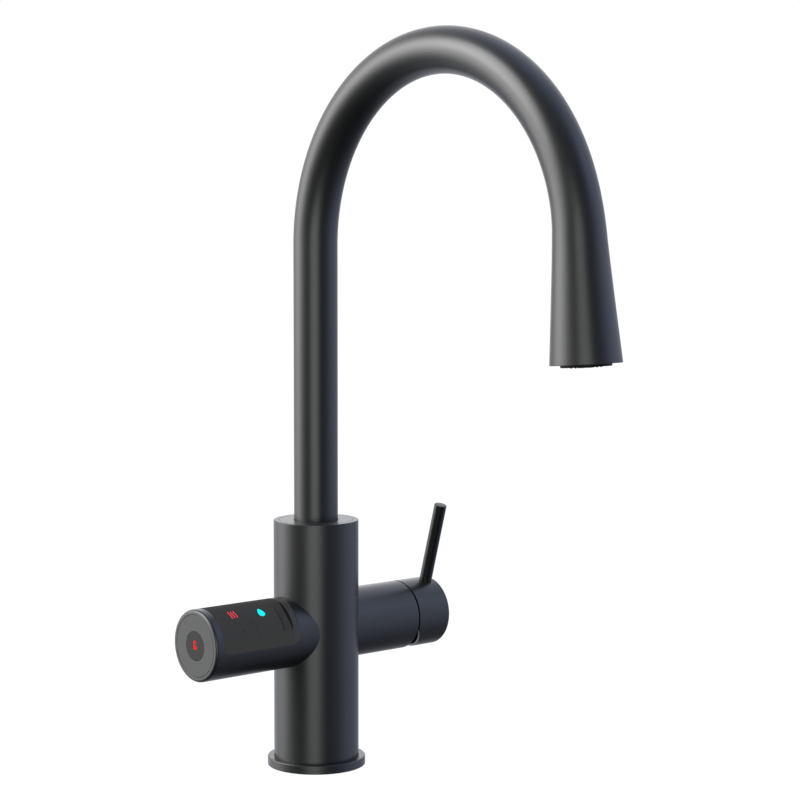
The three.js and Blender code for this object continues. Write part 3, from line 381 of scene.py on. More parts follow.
# Painted shade in the finger recess's slit: near-black, with a faint emission that is far weaker
# than the panel's glow.
SHADE = Finish(
    "recess_shade", (0.004, 0.004, 0.004), 0.8, drift=0.05, gloss=0.05,
    extra={"Emission_Color": (1.0, 1.0, 1.0, 1.0), "Emission_Strength": 0.0065},
)
# Painted shade on the recess's ramp: a slightly weaker glow than the panel face's, so the ramp
# reads darker.
RAMP = Finish(
    "painted_ramp_shade", (0.01, 0.01, 0.01), 0.65, drift=0.06, gloss=0.03,
    extra={"Emission_Color": (1.0, 1.0, 1.0, 1.0), "Emission_Strength": 0.029},
)
# Painted shade along the ramp's outer edge: a darker line where the ramp starts, with a weaker glow
# than the ramp's.
CREASE = Finish(
    "painted_ramp_edge_shade", (0.008, 0.008, 0.008), 0.65, drift=0.05, gloss=0.03,
    extra={"Emission_Color": (1.0, 1.0, 1.0, 1.0), "Emission_Strength": 0.0185},
)
# The unlit signs are printed a little darker than the panel. Their emission is the same painted
# glow that stands in for the panel's reflection.
UNLIT = Finish(
    "unlit_symbol", (0.008, 0.008, 0.008), 0.65, drift=0.05, relief_mm=0.0008, gloss=0.01,
    extra={"Emission_Color": (1.0, 1.0, 1.0, 1.0), "Emission_Strength": 0.026},
)
STEAM_RED = Glow("steam_glow", (1.0, 0.03, 0.07), 2.6)
LOCK_RED = Glow("lock_glow", (1.0, 0.018, 0.016), 1.15)
DROP_CYAN = Glow("drop_glow", (0.01, 0.95, 1.0), 1.05)
# Painted glow and painted shade for each area of the touch panel.
PANEL_FINISHES: dict[Zone, Finish] = {
    Zone.FACE: FINISHES[Slot.PANEL],
    Zone.LIP_GLOW: LIP_GLOW,
    Zone.SLIT: SHADE,
    Zone.RAMP: RAMP,
    Zone.CREASE: CREASE,
}

_materials: dict[str, bpy.types.Material] = {}


def material_of(finish: Finish | Glow) -> bpy.types.Material:
    """The finish's material, made once.

    Args:
        finish: The finish or glow.

    Returns:
        Its material, the same one each time.
    """
    if finish.name not in _materials:
        _materials[finish.name] = finish.material()
    return _materials[finish.name]


# ---------------------------------------------------------------- meshes

SMOOTH_LIMIT = math.radians(32)
BEVEL_LIMIT = math.radians(50)
WELD = 1e-6
TREE_WELD = 5e-6


def settle(piece: bpy.types.Object) -> bpy.types.Object:
    """Bakes a piece's modifiers into its mesh.

    Args:
        piece: An object with live modifiers.

    Returns:
        The same object, with a plain mesh.
    """
    evaluated = piece.evaluated_get(bpy.context.evaluated_depsgraph_get())
    mesh = bpy.data.meshes.new_from_object(evaluated)
    piece.modifiers.clear()
    piece.data = mesh
    return piece


def put_in_scene(name: str, mesh: bpy.types.Mesh) -> bpy.types.Object:
    """Makes an object of a mesh and adds it to the scene.

    Args:
        name: The object's name.
        mesh: Its mesh.

    Returns:
        The object.
    """
    piece = bpy.data.objects.new(name, mesh)
    bpy.context.scene.collection.objects.link(piece)
    return piece


def made_of(name: str, form: bmesh.types.BMesh) -> bpy.types.Object:
    """Turns a closed form into an object whose faces point outwards.

    Args:
        name: The piece's name.
        form: Its surface, which is freed.

    Returns:
        The object, still faceted.
    """
    bmesh.ops.remove_doubles(form, verts=form.verts, dist=WELD)
    bmesh.ops.dissolve_degenerate(form, edges=form.edges, dist=WELD)
    bmesh.ops.recalc_face_normals(form, faces=form.faces)
    mesh = bpy.data.meshes.new(name)
    form.to_mesh(mesh)
    form.free()
    return put_in_scene(name, mesh)


def cut_away(piece: bpy.types.Object, *cutters: bpy.types.Object) -> bpy.types.Object:
    """Cuts other forms out of a piece and deletes them.

    Args:
        piece: What is cut.
        *cutters: Closed forms.

    Returns:
        The piece.
    """
    for cutter in cutters:
        cut = piece.modifiers.new("cut", "BOOLEAN")
        cut.operation = "DIFFERENCE"
        cut.solver = "EXACT"
        cut.object = cutter
    settle(piece)
    for cutter in cutters:
        bpy.data.objects.remove(cutter)
    return piece


def smooth(piece: bpy.types.Object, limit: float = SMOOTH_LIMIT) -> bpy.types.Object:
    """Shades a piece smooth up to an angle, with normals that follow its large faces.

    Args:
        piece: The object.
        limit: Edges sharper than this stay sharp, in radians.

    Returns:
        The piece.
    """
    piece.data.shade_smooth()
    piece.data.set_sharp_from_angle(angle=limit)
    weighted = piece.modifiers.new("weighted", "WEIGHTED_NORMAL")
    weighted.keep_sharp = True
    return settle(piece)


def soften(
    piece: bpy.types.Object, width_mm: float, segments: int = 3, marked: bool = False
) -> bpy.types.Object:
    """Rounds a piece's sharp edges, or only its marked ones.

    Args:
        piece: The object.
        width_mm: Width of the rounding.
        segments: Facets across it.
        marked: Whether only edges with a bevel weight are rounded, each by its share.

    Returns:
        The piece.
    """
    bevel = piece.modifiers.new("soften", "BEVEL")
    bevel.width = width_mm * MM
    bevel.segments = segments
    bevel.limit_method = "WEIGHT" if marked else "ANGLE"
    bevel.angle_limit = BEVEL_LIMIT
    return settle(piece)


def install(
    piece: bpy.types.Object,
    body: Body,
    slot: Slot,
    *nodes: str,
    finish: Finish | Glow | None = None,
) -> bpy.types.Object:
    """Dresses a finished piece, fixes it to its body and reports it.

    Args:
        piece: The object.
        body: The body that it moves with.
        slot: The record's slot that it belongs to.
        *nodes: The frame's nodes that it stands for.
        finish: A finish other than the slot's own.

    Returns:
        The piece.
    """
    piece.data.materials.clear()
    piece.data.materials.append(material_of(finish or FINISHES[slot]))
    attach(piece, body.value)
    if nodes:
        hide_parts(*nodes)
    log.info("%s: %d faces, rides on %s", piece.name, len(piece.data.polygons), body.value)
    return piece


# ---------------------------------------------------------------- forms


def spaced(start: float, stop: float, steps: int) -> list[float]:
    """Evenly spaced values from a start to a stop, with both."""
    return [start + (stop - start) * i / steps for i in range(steps + 1)]


def filleted(corners: Sequence[Corner], steps: int = 5) -> list[Point]:
    """Rounds the corners of a closed outline.

    Args:
        corners: (x, y, fillet) of each corner. A fillet of 0 stays sharp.
        steps: Facets across a fillet.

    Returns:
        The outline's points, the same number for any places of the corners.
    """
    points: list[Point] = []
    for index, (x, y, fillet) in enumerate(corners):
        here = Vector((x, y))
        if fillet == 0:
            points.append((x, y))
            continue
        before = (Vector(corners[index - 1][:2]) - here).normalized()
        after = (Vector(corners[(index + 1) % len(corners)][:2]) - here).normalized()
        half = before.angle(after) / 2
        centre = here + (before + after).normalized() * (fillet / math.sin(half))
        start = (here + before * (fillet / math.tan(half)) - centre).normalized()
        end = (here + after * (fillet / math.tan(half)) - centre).normalized()
        for step in range(steps + 1):
            points.append(tuple(centre + start.slerp(end, step / steps) * fillet))
    return points


@dataclass
class Turning:
    """A closed solid swept round its own Z axis, whose section may change with the angle.

    The angle runs from the frame's Y axis towards its X axis.
    """

    name: str
    section: Section
    place: Matrix = field(default_factory=lambda: Matrix.Identity(4))
    sides: int = 160

    def piece(self) -> bpy.types.Object:
        """Builds the solid.

        Returns:
            The object, still faceted.
        """
        form = bmesh.new()
        rings = []
        for side in range(self.sides):
            angle = 2 * math.pi * side / self.sides
            across, up = math.sin(angle), math.cos(angle)
            rings.append(
                [
                    form.verts.new((self.place @ Vector((r * across, r * up, z))) * MM)
                    for r, z in self.section(angle)
                ]
            )
        count = len(rings[0])
        for side, ring in enumerate(rings):
            beside = rings[(side + 1) % self.sides]
            for i in range(count):
                j = (i + 1) % count
                form.faces.new((ring[i], ring[j], beside[j], beside[i]))
        return made_of(self.name, form)


def fixed(corners: Sequence[Corner], steps: int = 5) -> Section:
    """A section that is the same all round."""
    outline = filleted(corners, steps)
    return lambda _angle: outline


def rod(name: str, radius: float, low: float, high: float, place: Matrix) -> bpy.types.Object:
    """A plain rod along its own Z axis, used as a cutter."""
    ends = [(0, low, 0), (radius, low, 0), (radius, high, 0), (0, high, 0)]
    return Turning(name, fixed(ends), place, sides=96).piece()


def frame_of(across: Vector, up: Vector, along: Vector, at: Vector) -> Matrix:
    """A frame from its three axes and its origin."""
    turned = Matrix((across, up, along)).transposed().to_4x4()
    return Matrix.Translation(at) @ turned


@dataclass
class Inlay:
    """A thin closed patch that follows a surface, such as a symbol on a panel.

    The surface maps (x, y, height) in millimetres to a place in the frame. The pitch is that of
    the points inside the outline.
    """

    outline: Sequence[Point]
    surface: Callable[[float, float, float], Vector]
    proud: float = 0.03
    depth: float = 0.15
    pitch: float = 0.45
    closest: float = 1e-5

    def points(self) -> list[Vector]:
        """Places that the patch's triangles join.

        Returns:
            Points of the outline, followed by those of a grid inside its bounds.
        """
        rim = [Vector(p) for p in self.outline]
        low = [min(p[i] for p in self.outline) for i in (0, 1)]
        high = [max(p[i] for p in self.outline) for i in (0, 1)]
        columns, rows = (int((high[i] - low[i]) / self.pitch) for i in (0, 1))
        grid = (
            Vector((low[0] + column * self.pitch, low[1] + row * self.pitch))
            for column in range(1, columns)
            for row in range(1, rows)
        )
        return [*rim, *(at for at in grid if min((at - p).length for p in rim) > self.pitch / 2)]

    def triangles(self) -> tuple[list[Vector], list[Sequence[int]]]:
        """Fills the outline with triangles.

        Returns:
            Points of the flat patch, and the triangles between them.
        """
        count = len(self.outline)
        edges = [(i, (i + 1) % count) for i in range(count)]
        only_inside = 1
        flat, _, faces, *_ = delaunay_2d_cdt(
            self.points(), edges, [], only_inside, self.closest
        )
        middles = [sum((flat[i] for i in face), Vector((0, 0))) / 3 for face in faces]
        return flat, [f for f, at in zip(faces, middles) if is_inside(at, self.outline)]

    def add_to(self, form: bmesh.types.BMesh) -> None:
        """Adds the patch's closed surface to a form.

        Args:
            form: The form.
        """
        flat, kept = self.triangles()
        top = [form.verts.new(self.surface(p.x, p.y, self.proud) * MM) for p in flat]
        base = [form.verts.new(self.surface(p.x, p.y, -self.depth) * MM) for p in flat]
        rim: set[tuple[int, int]] = set()
        for face in kept:
            form.faces.new([top[i] for i in face])
            form.faces.new([base[i] for i in reversed(face)])
            for a, b in zip(face, (*face[1:], face[0])):
                rim ^= {(min(a, b), max(a, b))}
        for a, b in rim:
            form.faces.new((top[a], top[b], base[b], base[a]))
        loose = [v for v in (*top, *base) if not v.link_faces]
        bmesh.ops.delete(form, geom=loose, context="VERTS")


def is_inside(at: Vector, outline: Sequence[Point]) -> bool:
    """Tells whether a point is inside a closed outline, by counting crossings.

    Args:
        at: The point.
        outline: The outline's points.

    Returns:
        True if it is inside.
    """
    crossings = 0
    for (x1, y1), (x2, y2) in zip(outline, (*outline[1:], outline[0])):
        if (y1 > at.y) != (y2 > at.y) and at.x < x1 + (at.y - y1) * (x2 - x1) / (y2 - y1):
            crossings += 1
    return crossings % 2 == 1


def inlaid(name: str, inlays: Sequence[Inlay]) -> bpy.types.Object:
    """Makes one piece of several thin patches.

    Args:
        name: The piece's name.
        inlays: The patches.

    Returns:
        The piece.
    """
    form = bmesh.new()
    for inlay in inlays:
        inlay.add_to(form)
    return made_of(name, form)


def stroke(path: Sequence[Point], width: float, cap_steps: int = 5) -> list[Point]:
    """Outline of a line of constant width with round ends.

    Args:
        path: Points of the line's middle.
        width: The line's width.
        cap_steps: Facets of each round end.

    Returns:
        The closed outline.
    """
    middle = [Vector(p) for p in path]
    left: list[Point] = []
    right: list[Point] = []
    for i, at in enumerate(middle):
        ahead = (middle[min(i + 1, len(middle) - 1)] - middle[max(i - 1, 0)]).normalized()
        side = Vector((-ahead.y, ahead.x)) * (width / 2)
        left.append(tuple(at + side))
        right.append(tuple(at - side))

    def cap(at: Vector, toward: Vector) -> Iterator[Point]:
        """Rounds an end of the line, from its left side to its right.

        Args:
            at: The end's middle.
            toward: Direction out of the line.

        Yields:
            Points of a half circle.
        """
        side = Vector((-toward.y, toward.x))
        for step in range(1, cap_steps):
            angle = math.pi * step / cap_steps
            spoke = side * math.cos(angle) + toward * math.sin(angle)
            yield tuple(at + spoke * (width / 2))

    end = (middle[-1] - middle[-2]).normalized()
    start = (middle[0] - middle[1]).normalized()
    return [*left, *cap(middle[-1], end), *reversed(right), *cap(middle[0], start)]


def circle(x: float, y: float, radius: float, steps: int) -> list[Point]:
    """Points round a circle, from its own +X."""
    angles = (2 * math.pi * i / steps for i in range(steps))
    return [(x + radius * math.cos(a), y + radius * math.sin(a)) for a in angles]


def spline(points: Sequence[Point], steps: int = 8) -> list[Point]:
    """A smooth line through points, as a Catmull-Rom spline.

    Args:
        points: The points that it passes.
        steps: Facets between two points.

    Returns:
        Points of the line.
    """
    known = [Vector(p) for p in points]
    known = [2 * known[0] - known[1], *known, 2 * known[-1] - known[-2]]
    line: list[Point] = []
    for i in range(1, len(known) - 2):
        a, b, c, d = known[i - 1 : i + 3]
        for step in range(steps):
            t = step / steps
            square, cube = 2 * a - 5 * b + 4 * c - d, 3 * (b - c) + d - a
            at = b + t / 2 * (c - a + t * (square + t * cube))
            line.append(tuple(at))
    return [*line, tuple(known[-2])]


# ---------------------------------------------------------------- node trees


class Graph:
    """Builds a geometry node tree with named inputs."""

    def __init__(self, name: str, inputs: dict[str, tuple[str, float]]) -> None:
        """Starts the tree.

        Args:
            name: The tree's name.
            inputs: Socket type and default of each named input.
        """
        self.tree = bpy.data.node_groups.new(name, "GeometryNodeTree")
        for label, (kind, default) in inputs.items():
            socket = self.tree.interface.new_socket(label, in_out="INPUT", socket_type=kind)
            socket.default_value = default
        self.tree.interface.new_socket(
            "Geometry", in_out="OUTPUT", socket_type="NodeSocketGeometry"
        )
        self.source = self.tree.nodes.new("NodeGroupInput")
        self.sink = self.tree.nodes.new("NodeGroupOutput")

    def __getitem__(self, label: str) -> bpy.types.NodeSocket:
        """A named input."""
        return self.source.outputs[label]

    def feed(self, socket: bpy.types.NodeSocket, value: object) -> None:
        """Links or sets a socket.

        Args:
            socket: The input.
            value: An output to link, or a constant.
        """
        if isinstance(value, bpy.types.NodeSocket):
            self.tree.links.new(value, socket)
        else:
            socket.default_value = value

    def add(
        self, kind: str, inputs: dict[str | int, object] | None = None, **settings: object
    ) -> bpy.types.Node:
        """Adds a node.

        Args:
            kind: The node's type name.
            inputs: Values or links of its sockets.
            **settings: Its properties.

        Returns:
            The node.
        """
        node = self.tree.nodes.new(kind)
        for key, value in settings.items():
            setattr(node, key, value)
        for key, value in (inputs or {}).items():
            self.feed(node.inputs[key], value)
        return node

    def maths(self, operation: str, *values: object) -> bpy.types.NodeSocket:
        """One step of arithmetic."""
        inputs = dict(enumerate(values))
        return self.add("ShaderNodeMath", inputs, operation=operation).outputs[0]

    def vector(self, x: object, y: object, z: object) -> bpy.types.NodeSocket:
        """A vector from its parts."""
        return self.add("ShaderNodeCombineXYZ", {0: x, 1: y, 2: z}).outputs[0]

    def finish(self, geometry: bpy.types.NodeSocket, material: bpy.types.Material) -> None:
        """Realises the geometry, gives it its material and ends the tree.

        Args:
            geometry: The output with the geometry.
            material: The material of all of it.
        """
        real = self.add("GeometryNodeRealizeInstances", {0: geometry})
        dressed = self.add(
            "GeometryNodeSetMaterial", {"Geometry": real.outputs[0], "Material": material}
        )
        self.tree.links.new(dressed.outputs[0], self.sink.inputs[0])

    def run(self, name: str, values: dict[str, float]) -> bpy.types.Object:
        """Makes a plain piece with the tree.

        Args:
            name: The piece's name.
            values: The tree's inputs.

        Returns:
            The piece, with no modifier left.
        """
        piece = put_in_scene(name, bpy.data.meshes.new(name))
        modifier = piece.modifiers.new("nodes", "NODES")
        modifier.node_group = self.tree
        for item in self.tree.interface.items_tree:
            if item.in_out == "INPUT" and item.name in values:
                modifier[item.identifier] = values[item.name]
        return settle(piece)


# ---------------------------------------------------------------- column and base


@dataclass
class Column:
    """The upright body with its base flange and its cap.

    The arms' holes are cut from hole_start to hole_end along the arms. An arm's saddle stands
    off the column by saddle_gap.
    """

    radius: float = 24.45
    bore: float = 21.45
    bottom: float = 2.3
    top: float = 142.8
    cross_height: float = 79.9
    lever_hole: float = 16.9
    pod_hole: float = 9.3
    hole_start: float = 5.0
    hole_end: float = 40.0
    saddle_gap: float = 0.03
    flange_radius: float = 28.25
    flange_height: float = 5.05
    flange_bore: float = 22.0
    flange_floor: float = 2.2
    flange_gap: float = 0.08
    groove_inner: float = 24.9
    groove_outer: float = 27.1
    groove_depth: float = 1.8
    cap_bore: float = 12.8
    cap_depth: float = 4.4
    cap_gap: float = 0.07
    cap_proud: float = 0.02
    foot_round: float = 0.1
    flange_foot_round: float = 0.25
    flange_round: float = 0.55
    seat_round: float = 0.12
    hidden_round: float = 0.2
    top_round: float = 0.45
    cap_outer_round: float = 0.25
    cap_bore_round: float = 0.3

    def build(self) -> None:
        """Builds and installs the pieces."""
        self.flange()
        self.tube()
        self.cap()

    def flange(self) -> None:
        """The ring on the worktop, with the groove of its seal."""
        seat = self.radius + self.flange_gap
        ring = fixed(
            [
                (self.flange_bore, 0, self.foot_round),
                (self.groove_inner, 0, self.foot_round),
                (self.groove_inner, self.groove_depth, 0),
                (self.groove_outer, self.groove_depth, 0),
                (self.groove_outer, 0, self.foot_round),
                (self.flange_radius, 0, self.flange_foot_round),
                (self.flange_radius, self.flange_height, self.flange_round),
                (seat, self.flange_height, self.seat_round),
                (seat, self.flange_floor, 0),
                (self.flange_bore, self.flange_floor, 0),
            ]
        )
        piece = Turning("flange_ring", ring, sides=192).piece()
        install(smooth(piece), Body.COLUMN, Slot.BLACK, "base_flange")

    def tube(self) -> None:
        """The column, with the holes that its two arms open into."""
        wall = fixed(
            [
                (self.bore, self.bottom, self.hidden_round),
                (self.radius, self.bottom, self.hidden_round),
                (self.radius, self.top, self.top_round),
                (self.bore, self.top, self.hidden_round),
            ]
        )
        piece = Turning("column_tube", wall, sides=192).piece()
        span = (self.hole_start, self.hole_end)
        lever_hole = rod("lever_hole", self.lever_hole, *span, lever_frame())
        pod_hole = rod("pod_hole", self.pod_hole, *span, pod_frame())
        cut_away(piece, lever_hole, pod_hole)
        install(smooth(piece), Body.COLUMN, Slot.BLACK, "body_column")

    def cap(self) -> None:
        """The ring that closes the column's top round the spout."""
        outer = self.bore - self.cap_gap
        low, high = self.top - self.cap_depth, self.top + self.cap_proud
        ring = fixed(
            [
                (self.cap_bore, low, 0),
                (outer, low, 0),
                (outer, high, self.cap_outer_round),
                (self.cap_bore, high, self.cap_bore_round),
            ]
        )
        piece = Turning("column_cap", ring, sides=160).piece()
        install(smooth(piece), Body.COLUMN, Slot.BLACK, "body_cap")


def arm_frame(along: Vector) -> Matrix:
    """Frame of an arm on the column: Z out of the column, Y up."""
    up = Vector((0, 0, 1))
    return frame_of(up.cross(along), up, along, up * Column.cross_height)


def lever_frame(angle: float = 0.0) -> Matrix:
    """Frame of the lever's arm, turned about Z by an angle."""
    return arm_frame(Vector((1, 0, 0))) @ Matrix.Rotation(angle, 4, "Z")


def pod_frame() -> Matrix:
    """Frame of the control pod's arm, with X towards the user."""
    return arm_frame(Vector((-1, 0, 0)))


def saddle(radius: float, angle: float) -> float:
    """Where an arm's wall meets the column, measured along the arm.

    Args:
        radius: Distance of the wall from the arm's axis.
        angle: Angle round the arm, from its top.

    Returns:
        The station on the column's surface.
    """
    wall = Column.radius + Column.saddle_gap
    return math.sqrt(wall**2 - (radius * math.sin(angle)) ** 2)


# ---------------------------------------------------------------- spout


@dataclass
class Spout:
    """The gooseneck, which widens softly into its flared outlet."""

    radius: float = 12.61
    wall: float = 1.5
    bottom: float = 104.0
    arc_start: float = 300.3
    arc_radius: float = 105.03
    sweep: float = math.radians(175.2)
    tail: float = 64.95
    flare_start: float = 73.0
    flare_slope: float = 0.0796
    flare_blend: float = 20.0
    outlet_bore: float = 13.3
    lip_round: float = 0.28

    @property
    def length(self) -> float:
        """Length of the centreline."""
        return self.arc_start - self.bottom + self.arc_radius * self.sweep + self.tail

    def outlet_frame(self) -> Matrix:
        """Finds where the spout ends.

        Returns:
            Frame of the outlet: Z out of the spout, X across.
        """
        along = Vector((0, -math.sin(self.sweep), math.cos(self.sweep)))
        across = Vector((1, 0, 0))
        arc_end = Vector(
            (
                0,
                -self.arc_radius * (1 - math.cos(self.sweep)),
                self.arc_start + self.arc_radius * math.sin(self.sweep),
            )
        )
        return frame_of(across, along.cross(across), along, arc_end + along * self.tail)

    def build(self) -> None:
        """Builds and installs the pieces."""
        self.gooseneck()
        Outlet(self.outlet_frame()).build()

    def gooseneck(self) -> None:
        """The bent tube, made by rule from its driving sizes."""
        sizes = {
            "Bottom": self.bottom,
            "Arc Start": self.arc_start,
            "Arc Radius": self.arc_radius,
            "Length": self.length,
            "Tube Radius": self.radius,
            "Wall": self.wall,
            "Bore": self.outlet_bore,
            "Flare Start": self.flare_start,
            "Flare Blend": self.flare_blend,
        }
        values = {label: size * MM for label, size in sizes.items()}
        values |= {"Sweep": self.sweep, "Flare Slope": self.flare_slope}
        piece = gooseneck_tree().run("gooseneck", values)
        soften(piece, self.lip_round)
        install(smooth(piece), Body.SPOUT, Slot.BLACK, "spout_tube")


@dataclass
class Outlet:
    """The insert in the flare's end, and its soft plate with the nozzles.

    Heights are along the outlet's axis from the flare's end, and positive outside.
    """

    place: Matrix
    ring_radius: float = 13.1
    ring_back: float = -11.0
    ring_face: float = 1.35
    step_outer: float = 11.4
    step_inner: float = 11.1
    step_depth: float = 0.7
    ring_bore: float = 9.3
    ring_round: float = 0.6
    step_outer_round: float = 0.3
    step_inner_round: float = 0.2
    bore_round: float = 0.25
    plate_radius: float = 9.15
    plate_back: float = -4.0
    plate_face: float = 0.9
    boiling_foot: float = 4.4
    boiling_radius: float = 4.0
    boiling_face: float = 1.75
    boiling_bore: float = 2.4
    boiling_floor: float = -3.0
    plate_round: float = 0.3
    boiling_foot_round: float = 0.2
    boiling_face_round: float = 0.3
    boiling_bore_round: float = 0.25
    nozzle_start: float = 0.8
    nozzle_radius: float = 0.62
    nozzle_height: float = 0.95
    nozzle_counts: tuple[int, int] = (6, 12)
    nozzle_rings: tuple[float, float] = (5.4, 7.7)

    def build(self) -> None:
        """Builds and installs the pieces."""
        self.ring()
        self.nozzles()
        self.plate()

    def ring(self) -> None:
        """The black ring that holds the nozzle plate."""
        step = self.ring_face - self.step_depth
        outline = fixed(
            [
                (self.ring_bore, self.ring_back, 0),
                (self.ring_radius, self.ring_back, 0),
                (self.ring_radius, self.ring_face, self.ring_round),
                (self.step_outer, self.ring_face, self.step_outer_round),
                (self.step_inner, step, self.step_inner_round),
                (self.ring_bore, step, self.bore_round),
            ]
        )
        piece = Turning("outlet_ring", outline, self.place, sides=128).piece()
        nodes = ("outlet_insert", "outlet_o_ring")
        install(smooth(piece), Body.SPOUT, Slot.DARK, *nodes, finish=OUTLET)

    def plate(self) -> None:
        """The soft plate, with the boiling water's own nozzle in its middle."""
        outline = fixed(
            [
                (0, self.plate_back, 0),
                (self.plate_radius, self.plate_back, 0),
                (self.plate_radius, self.plate_face, self.plate_round),
                (self.boiling_foot, self.plate_face, self.boiling_foot_round),
                (self.boiling_radius, self.boiling_face, self.boiling_face_round),
                (self.boiling_bore, self.boiling_face, self.boiling_bore_round),
                (self.boiling_bore, self.boiling_floor, 0),
                (0, self.boiling_floor, 0),
            ]
        )
        piece = Turning("nozzle_plate_soft", outline, self.place, sides=96).piece()
        install(smooth(piece), Body.SPOUT, Slot.RUBBER, "nozzle_plate")

    def nozzles(self) -> None:
        """The rings of small nozzles, made by rule from their driving sizes."""
        (few, many), (inner, outer) = self.nozzle_counts, self.nozzle_rings
        sizes = {
            "Inner Radius": inner,
            "Outer Radius": outer,
            "Nozzle Radius": self.nozzle_radius,
            "Height": self.nozzle_height,
        }
        values = {label: size * MM for label, size in sizes.items()}
        values |= {"Inner Count": few, "Outer Count": many}
        piece = nozzle_tree().run("nozzle_bumps", values)
        rise = Matrix.Translation((0, 0, self.nozzle_start * MM))
        middle = Matrix.Translation(self.place.translation * MM)
        piece.data.transform(middle @ self.place.to_3x3().to_4x4() @ rise)
        install(smooth(piece), Body.SPOUT, Slot.RUBBER)


def gooseneck_tree() -> Graph:
    """Node tree of a bent tube: up, round an arc and down to a flared end.

    Returns:
        The tree. A grid is wrapped along the outside, over the rim and back along the inside.
    """
    size = "NodeSocketFloat"
    labels = (
        "Bottom", "Arc Start", "Arc Radius", "Length", "Tube Radius", "Wall", "Bore",
        "Flare Start", "Flare Blend", "Sweep", "Flare Slope",
    )
    graph = Graph(
        "gooseneck_tree",
        {label: (size, 0.0) for label in labels}
        | {"Rings": ("NodeSocketInt", 190), "Sides": ("NodeSocketInt", 96)},
    )
    m = graph.maths
    rings, sides = graph["Rings"], graph["Sides"]
    rows = m("ADD", m("MULTIPLY", rings, 2.0), 1.0)
    grid = graph.add(
        "GeometryNodeMeshGrid",
        {"Size X": 1.0, "Size Y": 1.0, "Vertices X": rows, "Vertices Y": m("ADD", sides, 1.0)},
    )
    parts = graph.add(
        "ShaderNodeSeparateXYZ", {0: graph.add("GeometryNodeInputPosition").outputs[0]}
    ).outputs
    row = m("ROUND", m("MULTIPLY", m("ADD", parts[0], 0.5), m("MULTIPLY", rings, 2.0)))
    turn = m("MULTIPLY", m("ADD", parts[1], 0.5), math.tau)

    # Rows 0 to n-1 run along the outside, n to 2n-1 back along the inside, and 2n closes the end.
    last = m("GREATER_THAN", row, m("SUBTRACT", m("MULTIPLY", rings, 2.0), 0.5))
    inner = m("SUBTRACT", m("GREATER_THAN", row, m("SUBTRACT", rings, 0.5)), last)
    steps = m("SUBTRACT", rings, 1.0)
    ahead = m("DIVIDE", row, steps)
    back = m("DIVIDE", m("SUBTRACT", m("SUBTRACT", m("MULTIPLY", rings, 2.0), 1.0), row), steps)
    outer = m("SUBTRACT", m("SUBTRACT", 1.0, inner), last)
    share = m("ADD", m("MULTIPLY", outer, ahead), m("MULTIPLY", inner, back))
    distance = m("MULTIPLY", share, graph["Length"])

    # The flare: a straight slope that eases in over a short stretch.
    from_end = m("SUBTRACT", graph["Length"], distance)
    past = m("SUBTRACT", graph["Flare Start"], from_end)
    root = m("SQRT", m("ADD", m("MULTIPLY", past, past), m("POWER", graph["Flare Blend"], 2.0)))
    eased = m("MULTIPLY", m("ADD", root, past), 0.5)
    outside = m("ADD", graph["Tube Radius"], m("MULTIPLY", graph["Flare Slope"], eased))
    inside = m("MINIMUM", m("SUBTRACT", outside, graph["Wall"]), graph["Bore"])
    radius = m(
        "ADD",
        m("MULTIPLY", m("SUBTRACT", 1.0, inner), outside),
        m("MULTIPLY", inner, inside),
    )

    # The centreline and its sideways direction.
    rise = m("SUBTRACT", graph["Arc Start"], graph["Bottom"])
    beyond = m("SUBTRACT", distance, rise)
    reached = m("MAXIMUM", m("DIVIDE", beyond, graph["Arc Radius"]), 0.0)
    angle = m("MINIMUM", reached, graph["Sweep"])
    rest = m("SUBTRACT", beyond, m("MULTIPLY", graph["Arc Radius"], angle))
    sine, cosine = m("SINE", angle), m("COSINE", angle)
    fall = m("MULTIPLY", graph["Arc Radius"], m("SUBTRACT", 1.0, cosine))
    y = m("MULTIPLY", m("ADD", fall, m("MULTIPLY", rest, sine)), -1.0)
    climb = m("ADD", m("MULTIPLY", graph["Arc Radius"], sine), m("MULTIPLY", rest, cosine))
    z = m("ADD", graph["Arc Start"], climb)
    side = m("MULTIPLY", radius, m("SINE", turn))
    place = graph.vector(
        m("MULTIPLY", radius, m("COSINE", turn)),
        m("ADD", y, m("MULTIPLY", side, cosine)),
        m("ADD", z, m("MULTIPLY", side, sine)),
    )
    bent = graph.add("GeometryNodeSetPosition", {"Geometry": grid.outputs[0], "Position": place})
    welded = graph.add(
        "GeometryNodeMergeByDistance", {"Geometry": bent.outputs[0], "Distance": TREE_WELD}
    )
    graph.finish(welded.outputs[0], material_of(FINISHES[Slot.BLACK]))
    return graph


